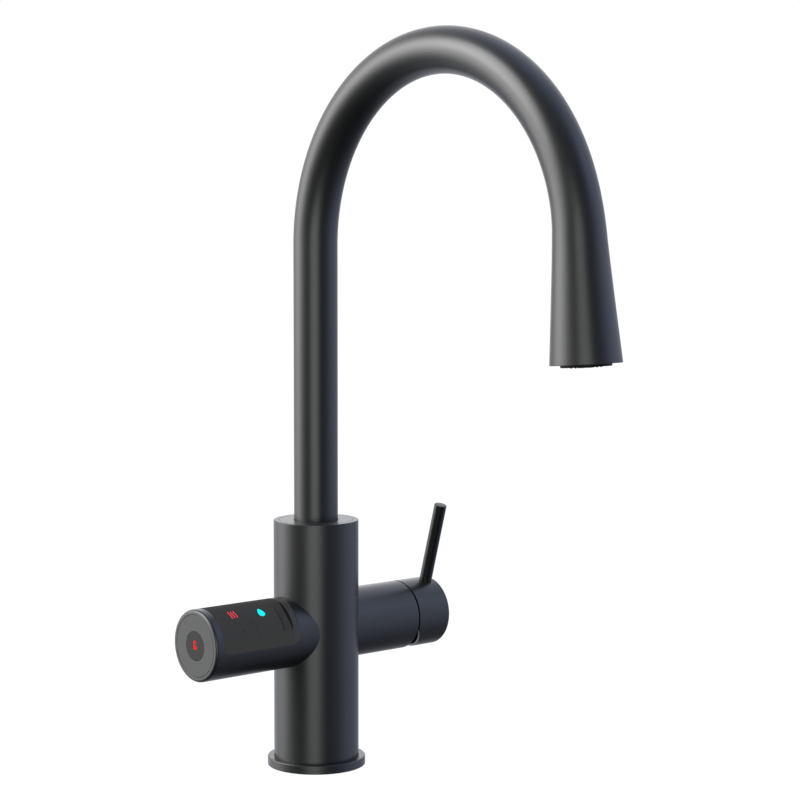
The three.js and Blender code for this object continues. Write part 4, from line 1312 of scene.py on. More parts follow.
def nozzle_tree() -> Graph:
    """Node tree of two rings of short tapered nozzles that point along Z.

    Returns:
        The tree. The taper is the share of a nozzle's radius that is left at its tip.
    """
    count, size = "NodeSocketInt", "NodeSocketFloat"
    graph = Graph(
        "nozzle_tree",
        {
            "Inner Count": (count, 0),
            "Outer Count": (count, 0),
            "Inner Radius": (size, 0.0),
            "Outer Radius": (size, 0.0),
            "Nozzle Radius": (size, 0.0),
            "Height": (size, 0.0),
            "Taper": (size, 0.72),
            "Sides": (count, 20),
            "Rows": (count, 3),
        },
    )
    bump = graph.add(
        "GeometryNodeMeshCone",
        {
            "Vertices": graph["Sides"],
            "Side Segments": graph["Rows"],
            "Radius Top": graph.maths("MULTIPLY", graph["Nozzle Radius"], graph["Taper"]),
            "Radius Bottom": graph["Nozzle Radius"],
            "Depth": graph["Height"],
        },
    )
    joined = graph.add("GeometryNodeJoinGeometry")
    for label in ("Inner", "Outer"):
        ring = graph.add(
            "GeometryNodeMeshCircle",
            {"Vertices": graph[f"{label} Count"], "Radius": graph[f"{label} Radius"]},
        )
        copies = graph.add(
            "GeometryNodeInstanceOnPoints",
            {"Points": ring.outputs[0], "Instance": bump.outputs["Mesh"]},
        )
        graph.tree.links.new(copies.outputs[0], joined.inputs[0])
    graph.finish(joined.outputs[0], material_of(FINISHES[Slot.RUBBER]))
    return graph


# ---------------------------------------------------------------- mixing lever


@dataclass
class CartridgeShield:
    """The dome behind the lever's gap that hides the cartridge, round the tilt's pivot. Its
    near-black matt finish is painted shade for the inside of the gap.

    Its angles are in degrees from the arm's axis, seen from the pivot.
    """

    pivot: float = 56.0
    radius: float = 16.7
    inner_radius: float = 16.1
    outer_edge: float = 78.0
    inner_edge: float = 76.0
    top_edge: float = 57.0
    bore: float = 11.6
    bore_face: float = 59.6
    foot: float = 58.4
    foot_radius: float = 16.5
    arc_steps: int = 6

    def arc(self, radius: float, first: float, last: float) -> list[Corner]:
        """Corners of an arc about the pivot, between two angles."""
        angles = (math.radians(angle) for angle in spaced(first, last, self.arc_steps))
        return [(radius * math.sin(a), self.pivot + radius * math.cos(a), 0) for a in angles]

    def build(self) -> None:
        """Builds and installs the dome."""
        outline = [
            (self.bore, self.foot, 0),
            (self.foot_radius, self.foot, 0),
            *self.arc(self.radius, self.outer_edge, self.top_edge),
            *self.arc(self.inner_radius, self.top_edge, self.inner_edge),
            (self.bore, self.bore_face, 0),
        ]
        piece = Turning("cartridge_shield", fixed(outline), lever_frame(), sides=96).piece()
        install(smooth(piece), Body.COLUMN, Slot.DARK, "cartridge_cover", finish=GAP_SHADE)


@dataclass
class MixingLever:
    """The lever's housing on the column, its turning hub and its rod.

    Stations are along the arm, from the column's axis. The relief is the slope of the hub's
    inner edge on the side away from the rod. It starts at a share of the radius off the axis.
    """

    radius: float = 20.05
    bore: float = 17.0
    straight_from: float = 45.0
    gap_start: float = 61.8
    gap_end: float = 62.8
    sleeve_round: float = 0.25
    sleeve_bore_round: float = 0.35
    hub_bore: float = 18.7
    bore_round: float = 0.1
    wall_round: float = 0.12
    boss: float = 7.5
    boss_start: float = 66.5
    boss_round: float = 0.3
    cup_end: float = 74.6
    end: float = 86.05
    end_round: float = 0.75
    turn: float = math.radians(16)
    relief: float = 0.43
    relief_from: float = 0.056
    edge_proud: float = 0.02
    edge_depth: float = 0.1
    shade_lining_gap: float = 0.02
    shade_lining_wall: float = 0.1
    shade_lining_start: float = 0.05
    rod_station: float = 79.45
    rod_radius: float = 3.67
    rod_start: float = 15.0
    rod_top: float = 68.8
    rod_round: float = 0.4
    plug_station: float = 75.9
    plug_radius: float = 2.7
    plug_bottom: float = 16.2
    plug_sink: float = 0.12
    plug_rings: tuple[float, ...] = (2.2, 1.6, 0.8)
    chamfer_width: float = 0.25
    chamfer_depth: float = 0.2
    hole_gap: float = 0.12
    hole_start: float = 15.0
    hole_end: float = 24.0

    def build(self) -> None:
        """Builds and installs the pieces."""
        self.housing()
        CartridgeShield().build()
        self.hub()
        self.hub_edge()
        self.shade_lining()
        self.rod()
        self.plug()

    def housing(self) -> None:
        """The fixed sleeve, cut to the column at its saddle end."""

        def section(angle: float) -> list[Point]:
            """Wall of the sleeve at an angle.

            Args:
                angle: Angle round the axis.

            Returns:
                (radius, height) of each point.
            """
            return filleted(
                [
                    (self.bore, saddle(self.bore, angle), 0),
                    (self.radius, saddle(self.radius, angle), 0),
                    (self.radius, self.straight_from, 0),
                    (self.radius, self.gap_start, self.sleeve_round),
                    (self.bore, self.gap_start, self.sleeve_bore_round),
                ]
            )

        piece = Turning("lever_sleeve", section, lever_frame(), sides=192).piece()
        install(smooth(piece), Body.COLUMN, Slot.BLACK, "lever_housing")

    def rim(self, radius: float, angle: float) -> float:
        """Station of the hub's inner edge, cut back on the side away from the rod."""
        return self.gap_end + max(0.0, -math.cos(angle) - self.relief_from) * radius * self.relief

    def hub(self) -> None:
        """The turning cup, with its slanted relief and the hole of its grub screw."""

        def section(angle: float) -> list[Point]:
            """Wall, solid end and stem boss at an angle.

            Args:
                angle: Angle round the axis.

            Returns:
                (radius, height) of each point.
            """
            return filleted(
                [
                    (self.hub_bore, self.rim(self.hub_bore, angle), self.bore_round),
                    (self.radius, self.rim(self.radius, angle), self.wall_round),
                    (self.radius, self.end, self.end_round),
                    (0, self.end, 0),
                    (0, self.boss_start, 0),
                    (self.boss, self.boss_start, self.boss_round),
                    (self.boss, self.cup_end, 0),
                    (self.hub_bore, self.cup_end, 0),
                ]
            )

        piece = Turning("lever_knob", section, lever_frame(self.turn), sides=192).piece()
        hole = rod(
            "screw_hole",
            self.plug_radius + self.hole_gap,
            self.hole_start,
            self.hole_end,
            self.plug_frame(),
        )
        cut_away(piece, hole)
        install(smooth(piece), Body.LEVER, Slot.BLACK, "lever_hub")

    def hub_edge(self) -> None:
        """A lighter grey metal band on the hub's inner edge, seen where its relief opens the gap: a
        painted highlight where light catches the edge.
        """
        inner, outer = self.hub_bore + self.bore_round, self.radius - self.wall_round

        def section(angle: float) -> list[Point]:
            """Thin band on the edge at an angle.

            Args:
                angle: Angle round the axis.

            Returns:
                (radius, height) of each point.
            """
            low, high = self.rim(inner, angle), self.rim(outer, angle)
            return [
                (inner, low - self.edge_proud),
                (outer, high - self.edge_proud),
                (outer, high + self.edge_depth),
                (inner, low + self.edge_depth),
            ]

        piece = Turning("lever_edge_highlight", section, lever_frame(self.turn), sides=192).piece()
        install(smooth(piece), Body.LEVER, Slot.BLACK, "lever_hub", finish=EDGE_HIGHLIGHT)

    def shade_lining(self) -> None:
        """A thin near-black sheet inside the hub's cup, seen past its edge: painted shade for the
        cup's shadowed inside.
        """
        outer, floor = self.hub_bore - self.shade_lining_gap, self.cup_end - self.shade_lining_gap
        boss = self.boss + self.shade_lining_gap
        inner, face = outer - self.shade_lining_wall, floor - self.shade_lining_wall

        def section(angle: float) -> list[Point]:
            """Thin wall and floor of the painted shade sheet at an angle.

            Args:
                angle: Angle round the axis.

            Returns:
                (radius, height) of each point.
            """
            start = self.rim(self.hub_bore, angle) + self.shade_lining_start
            return [
                (inner, start), (outer, start), (outer, floor), (boss, floor), (boss, face),
                (inner, face),
            ]

        piece = Turning("lever_shade_lining", section, lever_frame(self.turn), sides=96).piece()
        install(smooth(piece), Body.LEVER, Slot.BLACK, "lever_hub", finish=GAP_SHADE)

    def rod(self) -> None:
        """The thin rod that the hand moves."""
        outline = fixed(
            [
                (0, self.rod_start, 0),
                (self.rod_radius, self.rod_start, 0),
                (self.rod_radius, self.rod_top, self.rod_round),
                (0, self.rod_top, 0),
            ]
        )
        place = self.across(self.rod_station, -90)
        piece = Turning("lever_handle", outline, place, sides=96).piece()
        install(smooth(piece), Body.LEVER, Slot.BLACK, "lever_rod", finish=LEVER_ROD)

    def across(self, station: float, tilt: float) -> Matrix:
        """Frame on the hub's axis, with Z turned across it.

        Args:
            station: Place of its origin along the arm.
            tilt: -90 degrees for Z along the rod, 90 for the opposite way.

        Returns:
            The frame, which turns with the hub.
        """
        turned = Matrix.Rotation(math.radians(tilt), 4, "X")
        return lever_frame(self.turn) @ Matrix.Translation((0, 0, station)) @ turned

    def plug_frame(self) -> Matrix:
        """Frame of the plug: Z out of the hub's underside, Y along the hub."""
        return self.across(self.plug_station, 90)

    def plug(self) -> None:
        """The small cover of the grub screw, curved like the hub."""

        def face(radius: float, angle: float) -> float:
            """Height of the plug's face above the lever's axis, just under the hub's surface."""
            return math.sqrt(self.radius**2 - (radius * math.sin(angle)) ** 2) - self.plug_sink

        def section(angle: float) -> list[Point]:
            """Section of the plug at an angle, with its top on the hub's curve.

            Args:
                angle: Angle round the axis.

            Returns:
                (radius, height) of each point.
            """
            rim = face(self.plug_radius, angle)
            return [
                (0, self.plug_bottom),
                (self.plug_radius, self.plug_bottom),
                (self.plug_radius, rim - self.chamfer_depth),
                (self.plug_radius - self.chamfer_width, rim),
                *((r, face(r, angle)) for r in self.plug_rings),
                (0, face(0, angle)),
            ]

        piece = Turning("screw_plug", section, self.plug_frame(), sides=64).piece()
        install(smooth(piece), Body.LEVER, Slot.DARK, "grub_screw_plug")


# ---------------------------------------------------------------- control pod


@dataclass
class Pod:
    """What the control pod's pieces share: its sizes, and places on its round surface.

    Stations are along the pod, from the column's axis. Angles are in degrees round the pod, from
    its top towards the user. The panel's opening reaches from back to front.
    """

    radius: float = 20.3
    mouth: float = 17.55
    end: float = 86.1
    panel_start: float = 28.0
    panel_end: float = 80.9
    back: float = -30.0
    front: float = 99.0
    corner: float = 3.5
    corner_steps: int = 7
    middle_steps: int = 60

    def corner_angle(self) -> float:
        """Angle that a corner of the panel spans."""
        return math.degrees(self.corner / self.radius)

    def window_angles(self, gap: float) -> list[float]:
        """Angles of the grid across the panel's opening.

        Args:
            gap: How far the opening's edge is drawn in, in millimetres.

        Returns:
            Angles that are close together at the corners.
        """
        inset = math.degrees(gap / self.radius)
        low, high = self.back + inset, self.front - inset
        reach = self.corner_angle()
        turns = spaced(0, math.pi / 2, self.corner_steps)
        eased = [reach * (1 - math.cos(turn)) for turn in turns]
        middle = spaced(low + reach, high - reach, self.middle_steps)[1:-1]
        return [*(low + e for e in eased), *middle, *(high - e for e in reversed(eased))]

    def edge_inset(self, angle: float, low: float, high: float) -> float:
        """How far a rounded corner draws the panel's ends in at an angle.

        Args:
            angle: The angle.
            low: Where the opening or the panel begins.
            high: Where it ends.

        Returns:
            The distance in millimetres, which is 0 between the corners.
        """
        share = min(angle - low, high - angle) / self.corner_angle()
        if share >= 1:
            return 0.0
        return self.corner * (1 - math.sqrt(max(0.0, 1 - (1 - share) ** 2)))

    def around(self, radius: float, station: float, degrees: float) -> Vector:
        """A place on the pod.

        Args:
            radius: Distance from the pod's axis.
            station: Distance along it.
            degrees: Angle round it.

        Returns:
            The place in the frame, in metres.
        """
        angle = math.radians(degrees)
        local = Vector((radius * math.sin(angle), radius * math.cos(angle), station))
        return (pod_frame() @ local) * MM


@dataclass
class PodShell(Pod):
    """The pod's coated housing, with its panel opening and rounded end."""

    bore: float = 17.9
    end_round: float = 1.5
    mouth_round: float = 0.15
    rim_depth: float = 4.0
    opening_round: float = 0.22
    sides_outside: int = 110
    rows: int = 12
    rim_steps: int = 9

    def build(self) -> None:
        """Builds and installs the housing."""
        inside = self.window_angles(0.0)
        low, high = inside[0], inside[-1]
        outside = spaced(high, low + 360, self.sides_outside)[1:-1]
        form = bmesh.new()
        columns = []
        for degrees in (*inside, *outside):
            inset = self.edge_inset(degrees, low, high) if degrees <= high else self.corner
            stations = spaced(self.panel_start + inset, self.panel_end - inset, self.rows)
            loop = self.section(math.radians(degrees), stations)
            columns.append([form.verts.new(self.around(r, s, degrees)) for r, s in loop])
        count = len(columns[0])
        opening = range(1, 1 + self.rows)
        mirrored = range(count - 2 - self.rows, count - 2)
        for k, column in enumerate(columns):
            beside = columns[(k + 1) % len(columns)]
            in_window = k + 1 < len(inside)
            for i in range(count):
                if in_window and (i in opening or i in mirrored):
                    continue
                j = (i + 1) % count
                form.faces.new((column[i], column[j], beside[j], beside[i]))
        self.window_walls(form, columns[: len(inside)])
        piece = made_of("pod_shell", form)
        soften(piece, self.opening_round, marked=True)
        install(smooth(piece), Body.COLUMN, Slot.BLACK, "pod_housing")

    def section(self, angle: float, stations: Sequence[float]) -> list[Point]:
        """Closed section of the wall, from its saddle over its end and back inside.

        Args:
            angle: Angle round the pod, in radians.
            stations: Places along the pod where the grid has a point on both sides of the wall.

        Returns:
            (radius, station) of each point.
        """
        back = self.end - self.rim_depth
        rim = filleted(
            [
                (self.radius, back, 0),
                (self.radius, self.end, self.end_round),
                (self.mouth, self.end, self.mouth_round),
                (self.mouth, back, 0),
            ],
            self.rim_steps,
        )
        return [
            (self.radius, saddle(self.radius, angle)),
            *((self.radius, s) for s in stations),
            *rim,
            *((self.bore, s) for s in reversed(stations)),
            (self.bore, saddle(self.bore, angle)),
        ]

    def window_walls(
        self, form: bmesh.types.BMesh, columns: Sequence[Sequence[bmesh.types.BMVert]]
    ) -> None:
        """Closes the wall round the opening and marks its outer edge for rounding.

        Args:
            form: The shell's form.
            columns: Vertices of the columns across the opening.
        """
        weight = form.edges.layers.float.new("bevel_weight_edge")
        count = len(columns[0])

        def wall(a: int, b: int, first: int, second: int) -> None:
            """Adds one face of the wall, between two places on the opening's edge.

            Args:
                a: Number of the first vertex in its column.
                b: Number of the second.
                first: The first vertex's column.
                second: The second's.
            """
            face = form.faces.new(
                (
                    columns[first][a],
                    columns[second][b],
                    columns[second][count - 1 - b],
                    columns[first][count - 1 - a],
                )
            )
            edge = form.edges.get((columns[first][a], columns[second][b]))
            edge[weight] = 1.0
            face.smooth = True

        near, far = 1, 1 + self.rows
        for k in range(len(columns) - 1):
            wall(near, near, k, k + 1)
            wall(far, far, k, k + 1)
        for i in range(near, far):
            wall(i, i + 1, 0, 0)
            wall(i, i + 1, len(columns) - 1, len(columns) - 1)


@dataclass
class TouchPanel(Pod):
    """The smooth touch panel, flush in the pod's opening, with its finger recess.

    The recess is a ramp that deepens towards an undercut slit, with a band of painted shade along
    the ramp's outer edge over its upper part. The slit_tip is the share of the slit's width that is
    left at its ends, tilt_from is the share of the recess over which the ramp's edge stays level,
    and far_round is the share of edge_round on all edges but the near.
    """

    gap: float = 0.12
    inner_radius: float = 18.6
    recess_upper: float = 17.5
    recess_lower: float = 74.5
    slit_start: float = 32.0
    slit_end: float = 33.5
    slit_depth: float = 1.35
    slit_tip: float = 0.17
    slit_taper: float = 2.0
    ramp_end: float = 39.4
    ramp_depth: float = 0.75
    ramp_power: float = 1.5
    ramp_tilt: float = 1.1
    tilt_from: float = 0.2
    shade_band: float = 1.5
    shade_band_upper: float = 34.0
    brink: tuple[float, ...] = (-0.2, -0.01, 0.01, 0.2)
    slit_wall: float = 0.03
    seam: float = 0.02
    edge_round: float = 0.55
    far_round: float = 0.4
    near_rows: int = 5
    ramp_rows: int = 7
    shade_band_rows: int = 4
    far_rows: int = 30

    def swell(self, degrees: float) -> float:
        """How open the finger recess is at an angle: 0 past its ends and 1 in its middle."""
        share = (degrees - self.recess_upper) / (self.recess_lower - self.recess_upper)
        return math.sin(math.pi * share) if 0 < share < 1 else 0.0

    def slit_edge(self, degrees: float) -> float:
        """Station of the slit's far edge at an angle. The slit is widest in its middle."""
        width = self.slit_end - self.slit_start
        return self.slit_start + width * (self.slit_tip + (1 - self.slit_tip) * self.swell(degrees))

    def ramp_edge(self, degrees: float) -> float:
        """Station where the ramp begins at an angle. It lies farther out at the upper end."""
        share = (self.recess_lower - degrees) / (self.recess_lower - self.recess_upper)
        return self.ramp_end + self.ramp_tilt * max(0.0, min(1.0, share) - self.tilt_from)

    def recess(self, station: float, degrees: float) -> float:
        """Depth of the finger recess at a place on the panel.

        Args:
            station: Distance along the pod.
            degrees: Angle round the pod.

        Returns:
            The depth in millimetres.
        """
        swell, edge = self.swell(degrees), self.ramp_edge(degrees)
        if swell == 0 or not self.slit_start < station < edge:
            return 0.0
        far = self.slit_edge(degrees)
        if station < far:
            return self.slit_depth * min(1.0, self.slit_taper * swell)
        ease = (edge - station) / (edge - far)
        return self.ramp_depth * math.sqrt(swell) * ease**self.ramp_power

    def zone(self, at: Vector) -> Zone:
        """Which area of the panel a face belongs to, and so which painted glow or painted shade it
        gets.

        Args:
            at: The face's middle, in metres.

        Returns:
            The area.
        """
        local = pod_frame().inverted() @ (at / MM)
        degrees = math.degrees(math.atan2(local.x, local.y))
        depth, station = self.radius - math.hypot(local.x, local.y), local.z
        in_slit = self.slit_start - self.seam < station < self.slit_edge(degrees) + self.seam
        # Faces deep in the slit get painted shade.
        if depth > self.gap and in_slit:
            return Zone.SLIT
        # Faces on the strip next to the column get the lip's painted glow.
        if station < self.slit_start + self.seam:
            return Zone.LIP_GLOW
        if self.recess(station, degrees) == 0 or depth > self.slit_depth:
            return Zone.FACE
        # Faces near the ramp's outer edge in the upper part of the recess get a band of painted
        # shade. The rest of the ramp gets lighter painted shade.
        in_shade_band = degrees > self.shade_band_upper and station > self.ramp_edge(degrees) - self.shade_band
        return Zone.CREASE if in_shade_band else Zone.RAMP

    def stations(self, degrees: float, low: float, high: float) -> list[float]:
        """Stations of the grid at an angle, close together at the slit and at the band of painted
        shade along the ramp's edge.

        Args:
            degrees: The angle.
            low: The panel's first angle.
            high: Its last angle.

        Returns:
            The stations, the same number at any angle.
        """
        inset = self.gap + self.edge_inset(degrees, low, high)
        start, stop = self.panel_start + inset, self.panel_end - inset
        far, end = self.slit_edge(degrees), self.ramp_edge(degrees)
        shade_band_start = end - self.shade_band
        brink = [self.slit_start + step for step in self.brink]
        return [
            *spaced(start, brink[0], self.near_rows)[:-1],
            *brink,
            far - self.slit_wall,
            *spaced(far, shade_band_start, self.ramp_rows),
            *spaced(shade_band_start, end, self.shade_band_rows)[1:],
            *spaced(end, stop, self.far_rows)[1:],
        ]

    def build(self) -> None:
        """Builds and installs the panel, and gives each of its areas its finish: a painted glow on
        the face and lip, and painted shade in the slit, on the ramp and along the ramp's edge.
        """
        angles = self.window_angles(self.gap)
        form = bmesh.new()
        tops, bases = [], []
        for degrees in angles:
            stations = self.stations(degrees, angles[0], angles[-1])
            heights = (self.radius - self.recess(s, degrees) for s in stations)
            top = [self.around(r, s, degrees) for r, s in zip(heights, stations)]
            tops.append([form.verts.new(at) for at in top])
            base = [self.around(self.inner_radius, s, degrees) for s in stations]
            bases.append([form.verts.new(at) for at in base])
        self.close(form, tops, bases)
        piece = made_of("touch_cover", form)
        soften(piece, self.edge_round, segments=4, marked=True)
        install(smooth(piece), Body.COLUMN, Slot.PANEL, "touch_panel")
        piece.data.materials.clear()
        for zone in Zone:
            piece.data.materials.append(material_of(PANEL_FINISHES[zone]))
        for face in piece.data.polygons:
            face.material_index = self.zone(face.center)

    def close(
        self,
        form: bmesh.types.BMesh,
        tops: Sequence[Sequence[bmesh.types.BMVert]],
        bases: Sequence[Sequence[bmesh.types.BMVert]],
    ) -> None:
        """Adds the panel's faces and marks its outer edge for rounding.

        Args:
            form: The panel's form.
            tops: Vertices of its face, angle by angle.
            bases: Vertices of its inner side.
        """
        weight = form.edges.layers.float.new("bevel_weight_edge")
        last, end = len(tops[0]) - 1, len(tops) - 1
        for k in range(end):
            top, next_top, base, next_base = tops[k], tops[k + 1], bases[k], bases[k + 1]
            for i in range(last):
                form.faces.new((top[i], top[i + 1], next_top[i + 1], next_top[i]))
                form.faces.new((base[i], next_base[i], next_base[i + 1], base[i + 1]))
            for i, share in ((0, 1.0), (last, self.far_round)):
                form.faces.new((top[i], next_top[i], next_base[i], base[i]))
                form.edges.get((top[i], next_top[i]))[weight] = share
        for k in (0, end):
            for i in range(last):
                form.faces.new((tops[k][i], tops[k][i + 1], bases[k][i + 1], bases[k][i]))
                form.edges.get((tops[k][i], tops[k][i + 1]))[weight] = self.far_round


@dataclass
class PanelSigns(Pod):
    """The lit steam and drop on the panel, and the faint unlit signs below them.

    A steam line is given by its station and the angles of its ends. Points of the unlit signs
    are (station, angle).
    """

    steam_lines: tuple[tuple[float, float, float], ...] = (
        (70.1, 25.6, 40.4),
        (68.32, 25.4, 40.2),
        (66.54, 25.2, 40.0),
    )
    steam_wave: float = 0.24
    steam_width: float = 0.26
    steam_steps: int = 16
    drop_station: float = 49.5
    drop_tip: float = 28.6
    drop_bottom: float = 44.4
    drop_radius: float = 2.2
    drop_stretch: float = 1.12
    drop_lean: float = 0.35
    drop_shoulder: float = 0.45
    drop_steps: int = 40
    ring: Point = (66.5, 69.5)
    ring_radius: float = 1.55
    ring_steps: int = 24
    dot: Point = (58.8, 53.4)
    dot_radius: float = 0.75
    dot_steps: int = 16
    hook: tuple[Point, ...] = (
        (61.1, 56.5),
        (60.3, 51.5),
        (58.5, 49.2),
        (57.0, 51.6),
        (56.5, 58.0),
        (56.6, 67.6),
        (56.1, 81.0),
    )
    faint_width: float = 0.5
    faint_proud: float = 0.012

    def build(self) -> None:
        """Builds and installs the signs."""
        self.steam()
        self.drop()
        self.unlit()

    def on_panel(self, station: float, arc: float, height: float) -> Vector:
        """Maps (station, arc length from the pod's top, height) onto the panel."""
        degrees = math.degrees(arc / self.radius)
        return self.around(self.radius + height, station, degrees) / MM

    def flat(self, station: float, degrees: float) -> Point:
        """A place on the panel, as (station, arc length from the pod's top)."""
        return station, math.radians(degrees) * self.radius

    def steam(self) -> None:
        """Three wavy lines of steam."""
        lines = []
        for station, upper, lower in self.steam_lines:
            waves = (math.sin(turn) for turn in spaced(0, 2 * math.pi, self.steam_steps))
            angles = spaced(upper, lower, self.steam_steps)
            path = [
                self.flat(station + self.steam_wave * wave, angle)
                for wave, angle in zip(waves, angles)
            ]
            lines.append(Inlay(stroke(path, self.steam_width), self.on_panel))
        install(inlaid("steam_symbol", lines), Body.COLUMN, Slot.CLEAR, finish=STEAM_RED)

    def drop(self) -> None:
        """A drop, with its tip at the top and leaning a little."""
        bottom = self.flat(self.drop_station, self.drop_bottom)[1]
        tip = self.flat(self.drop_station, self.drop_tip)[1]
        centre = bottom - self.drop_radius
        outline: list[Point] = []
        for turn in spaced(0, 2 * math.pi, self.drop_steps)[:-1]:
            width = math.sin(turn) * math.sin(turn / 2) ** self.drop_shoulder
            rise = math.cos(turn)
            x = self.drop_lean * max(0.0, rise) + self.drop_radius * width * self.drop_stretch
            y = (centre - tip if rise > 0 else self.drop_radius) * rise
            outline.append((self.drop_station + x, centre - y))
        drop = Inlay(outline, self.on_panel)
        install(inlaid("drop_symbol", [drop]), Body.COLUMN, Slot.CLEAR, finish=DROP_CYAN)

    def unlit(self) -> None:
        """An open ring, a hook and a dot, which hardly show."""
        ring = circle(*self.flat(*self.ring), self.ring_radius, self.ring_steps)[:-1]
        hook = spline([self.flat(*point) for point in self.hook])
        outlines = (
            stroke(ring, self.faint_width),
            stroke(hook, self.faint_width),
            circle(*self.flat(*self.dot), self.dot_radius, self.dot_steps),
        )
        faint = [Inlay(outline, self.on_panel, proud=self.faint_proud) for outline in outlines]
        install(inlaid("unlit_symbols", faint), Body.COLUMN, Slot.CLEAR, finish=UNLIT)


@dataclass
class PodEnd(Pod):
    """The turned grey disc in the pod's mouth, and the lock button with its padlock.

    Depths are from the pod's end. The padlock's sizes are across the end, (towards the user, up).
    """

    disc_gap: float = 0.12
    disc_depth: float = 3.0
    disc_round: float = 0.25
    button_radius: float = 8.22
    button_gap: float = 0.1
    button_depth: float = 5.0
    face_depth: float = 0.7
    hollow_radius: float = 2.5
    stem_radius: float = 4.0
    stem_length: float = 0.4
    collar_radius: float = 9.8
    collar_length: float = 1.3
    hidden_round: float = 0.1
    button_round: float = 0.2
    lock_low: Point = (-1.5, -1.85)
    lock_high: Point = (1.35, 0.4)
    lock_round: float = 0.3
    bow_centre: Point = (-0.4, 2.05)
    bow_radius: float = 0.72
    bow_width: float = 0.72
    bow_steps: int = 12
    bow_open: float = 0.4
    bow_overlap: float = 0.05
    sign_proud: float = 0.02
    sign_pitch: float = 0.8

    def build(self) -> None:
        """Builds and installs the pieces."""
        self.disc()
        self.button()
        self.padlock()

    def on_face(self, x: float, y: float, height: float) -> Vector:
        """Maps (towards the user, up, height) onto the pod's end, in millimetres."""
        return pod_frame() @ Vector((x, y, self.end + height))

    def disc(self) -> None:
        """The turned grey disc round the lock button."""
        inner, outer = self.button_radius + self.button_gap, self.mouth - self.disc_gap
        back = self.end - self.disc_depth
        ring = fixed(
            [
                (inner, back, 0),
                (outer, back, 0),
                (outer, self.end, self.disc_round),
                (inner, self.end, self.hidden_round),
            ]
        )
        piece = Turning("end_disc", ring, pod_frame(), sides=160).piece()
        install(smooth(piece), Body.COLUMN, Slot.DISC, "end_cap_disc")

    def button(self) -> None:
        """The lock button, with the collar that keeps it in."""
        back, face = self.end - self.button_depth, self.end - self.face_depth
        collar = back + self.stem_length
        shoulder = collar + self.collar_length
        outline = fixed(
            [
                (0, face, 0),
                (self.hollow_radius, face, 0),
                (self.hollow_radius, back, 0),
                (self.stem_radius, back, 0),
                (self.stem_radius, collar, 0),
                (self.collar_radius, collar, self.hidden_round),
                (self.collar_radius, shoulder, self.hidden_round),
                (self.button_radius, shoulder, 0),
                (self.button_radius, self.end, self.button_round),
                (0, self.end, 0),
            ]
        )
        piece = Turning("lock_key", outline, pod_frame(), sides=128).piece()
        install(smooth(piece), Body.BUTTON, Slot.DARK, "lock_button", finish=BUTTON)

    def padlock(self) -> None:
        """The lit open padlock on the button."""
        (left, low), (right, high) = self.lock_low, self.lock_high
        corners = ((left, low), (right, low), (right, high), (left, high))
        body = filleted([(x, y, self.lock_round) for x, y in corners])
        x, y = self.bow_centre
        half_circle = circle(x, y, self.bow_radius, 2 * self.bow_steps)[: self.bow_steps + 1]
        free_end = (x + self.bow_radius, y - self.bow_open)
        fixed_end = (x - self.bow_radius, high - self.bow_overlap)
        bow = stroke([free_end, *half_circle, fixed_end], self.bow_width)
        padlock = [
            Inlay(outline, self.on_face, proud=self.sign_proud, pitch=self.sign_pitch)
            for outline in (body, bow)
        ]
        install(inlaid("padlock_symbol", padlock), Body.BUTTON, Slot.CLEAR, finish=LOCK_RED)


# ---------------------------------------------------------------- hidden pieces


def dress_carried_nodes() -> None:
    """Gives every node that is shown as it is the finish of its slot."""
    slots = {part["node"]: part["material_slot"] for part in frame["record"]["subparts"]}
    for name, node in frame["nodes"].items():
        if node.hide_render:
            continue
        finish = FINISHES[Slot(slots[name])]
        node.data.materials.clear()
        node.data.materials.append(material_of(finish))
        log.info("%s: carried over as %s", name, finish.name)


# ---------------------------------------------------------------- studio


@dataclass(frozen=True)
class Bearing:
    """A direction from the tap.

    The bearing is in degrees from straight behind the tap as the camera sees it, and negative
    to the left.
    """

    bearing: float
    elevation: float

    def toward(self, behind: float) -> Vector:
        """Turns the bearing into a vector.

        Args:
            behind: Heading from the camera to the tap, in radians from +X.

        Returns:
            Unit vector of the direction.
        """
        heading, rise = behind - math.radians(self.bearing), math.radians(self.elevation)
        flat = math.cos(rise)
        return Vector((flat * math.cos(heading), flat * math.sin(heading), math.sin(rise)))


@dataclass(frozen=True)
class Softbox:
    """A round studio light that faces the tap."""

    name: str
    place: Bearing
    size: float
    radiance: float
    colour: Colour = (1.0, 1.0, 1.0)
    distance: float = 4.0
    aim_height: float = 0.2

    def build(self, behind: float) -> None:
        """Adds the light to the scene.

        Args:
            behind: Heading from the camera to the tap, in radians from +X.
        """
        lamp = bpy.data.lights.new(self.name, "AREA")
        lamp.shape = "DISK"
        lamp.size = self.size
        lamp.energy = self.radiance * math.pi * math.pi * (self.size / 2) ** 2
        lamp.color = self.colour
        away = self.place.toward(behind)
        holder = bpy.data.objects.new(self.name, lamp)
        holder.location = away * self.distance + Vector((0, 0, self.aim_height))
        holder.rotation_euler = (-away).to_track_quat("-Z", "Y").to_euler()
        holder.visible_camera = False
        bpy.context.scene.collection.objects.link(holder)


@dataclass(frozen=True)
class Glare:
    """A soft bright area of the surroundings, which fades like a bell curve."""

    name: str
    place: Bearing
    spread: float
    colour: Colour


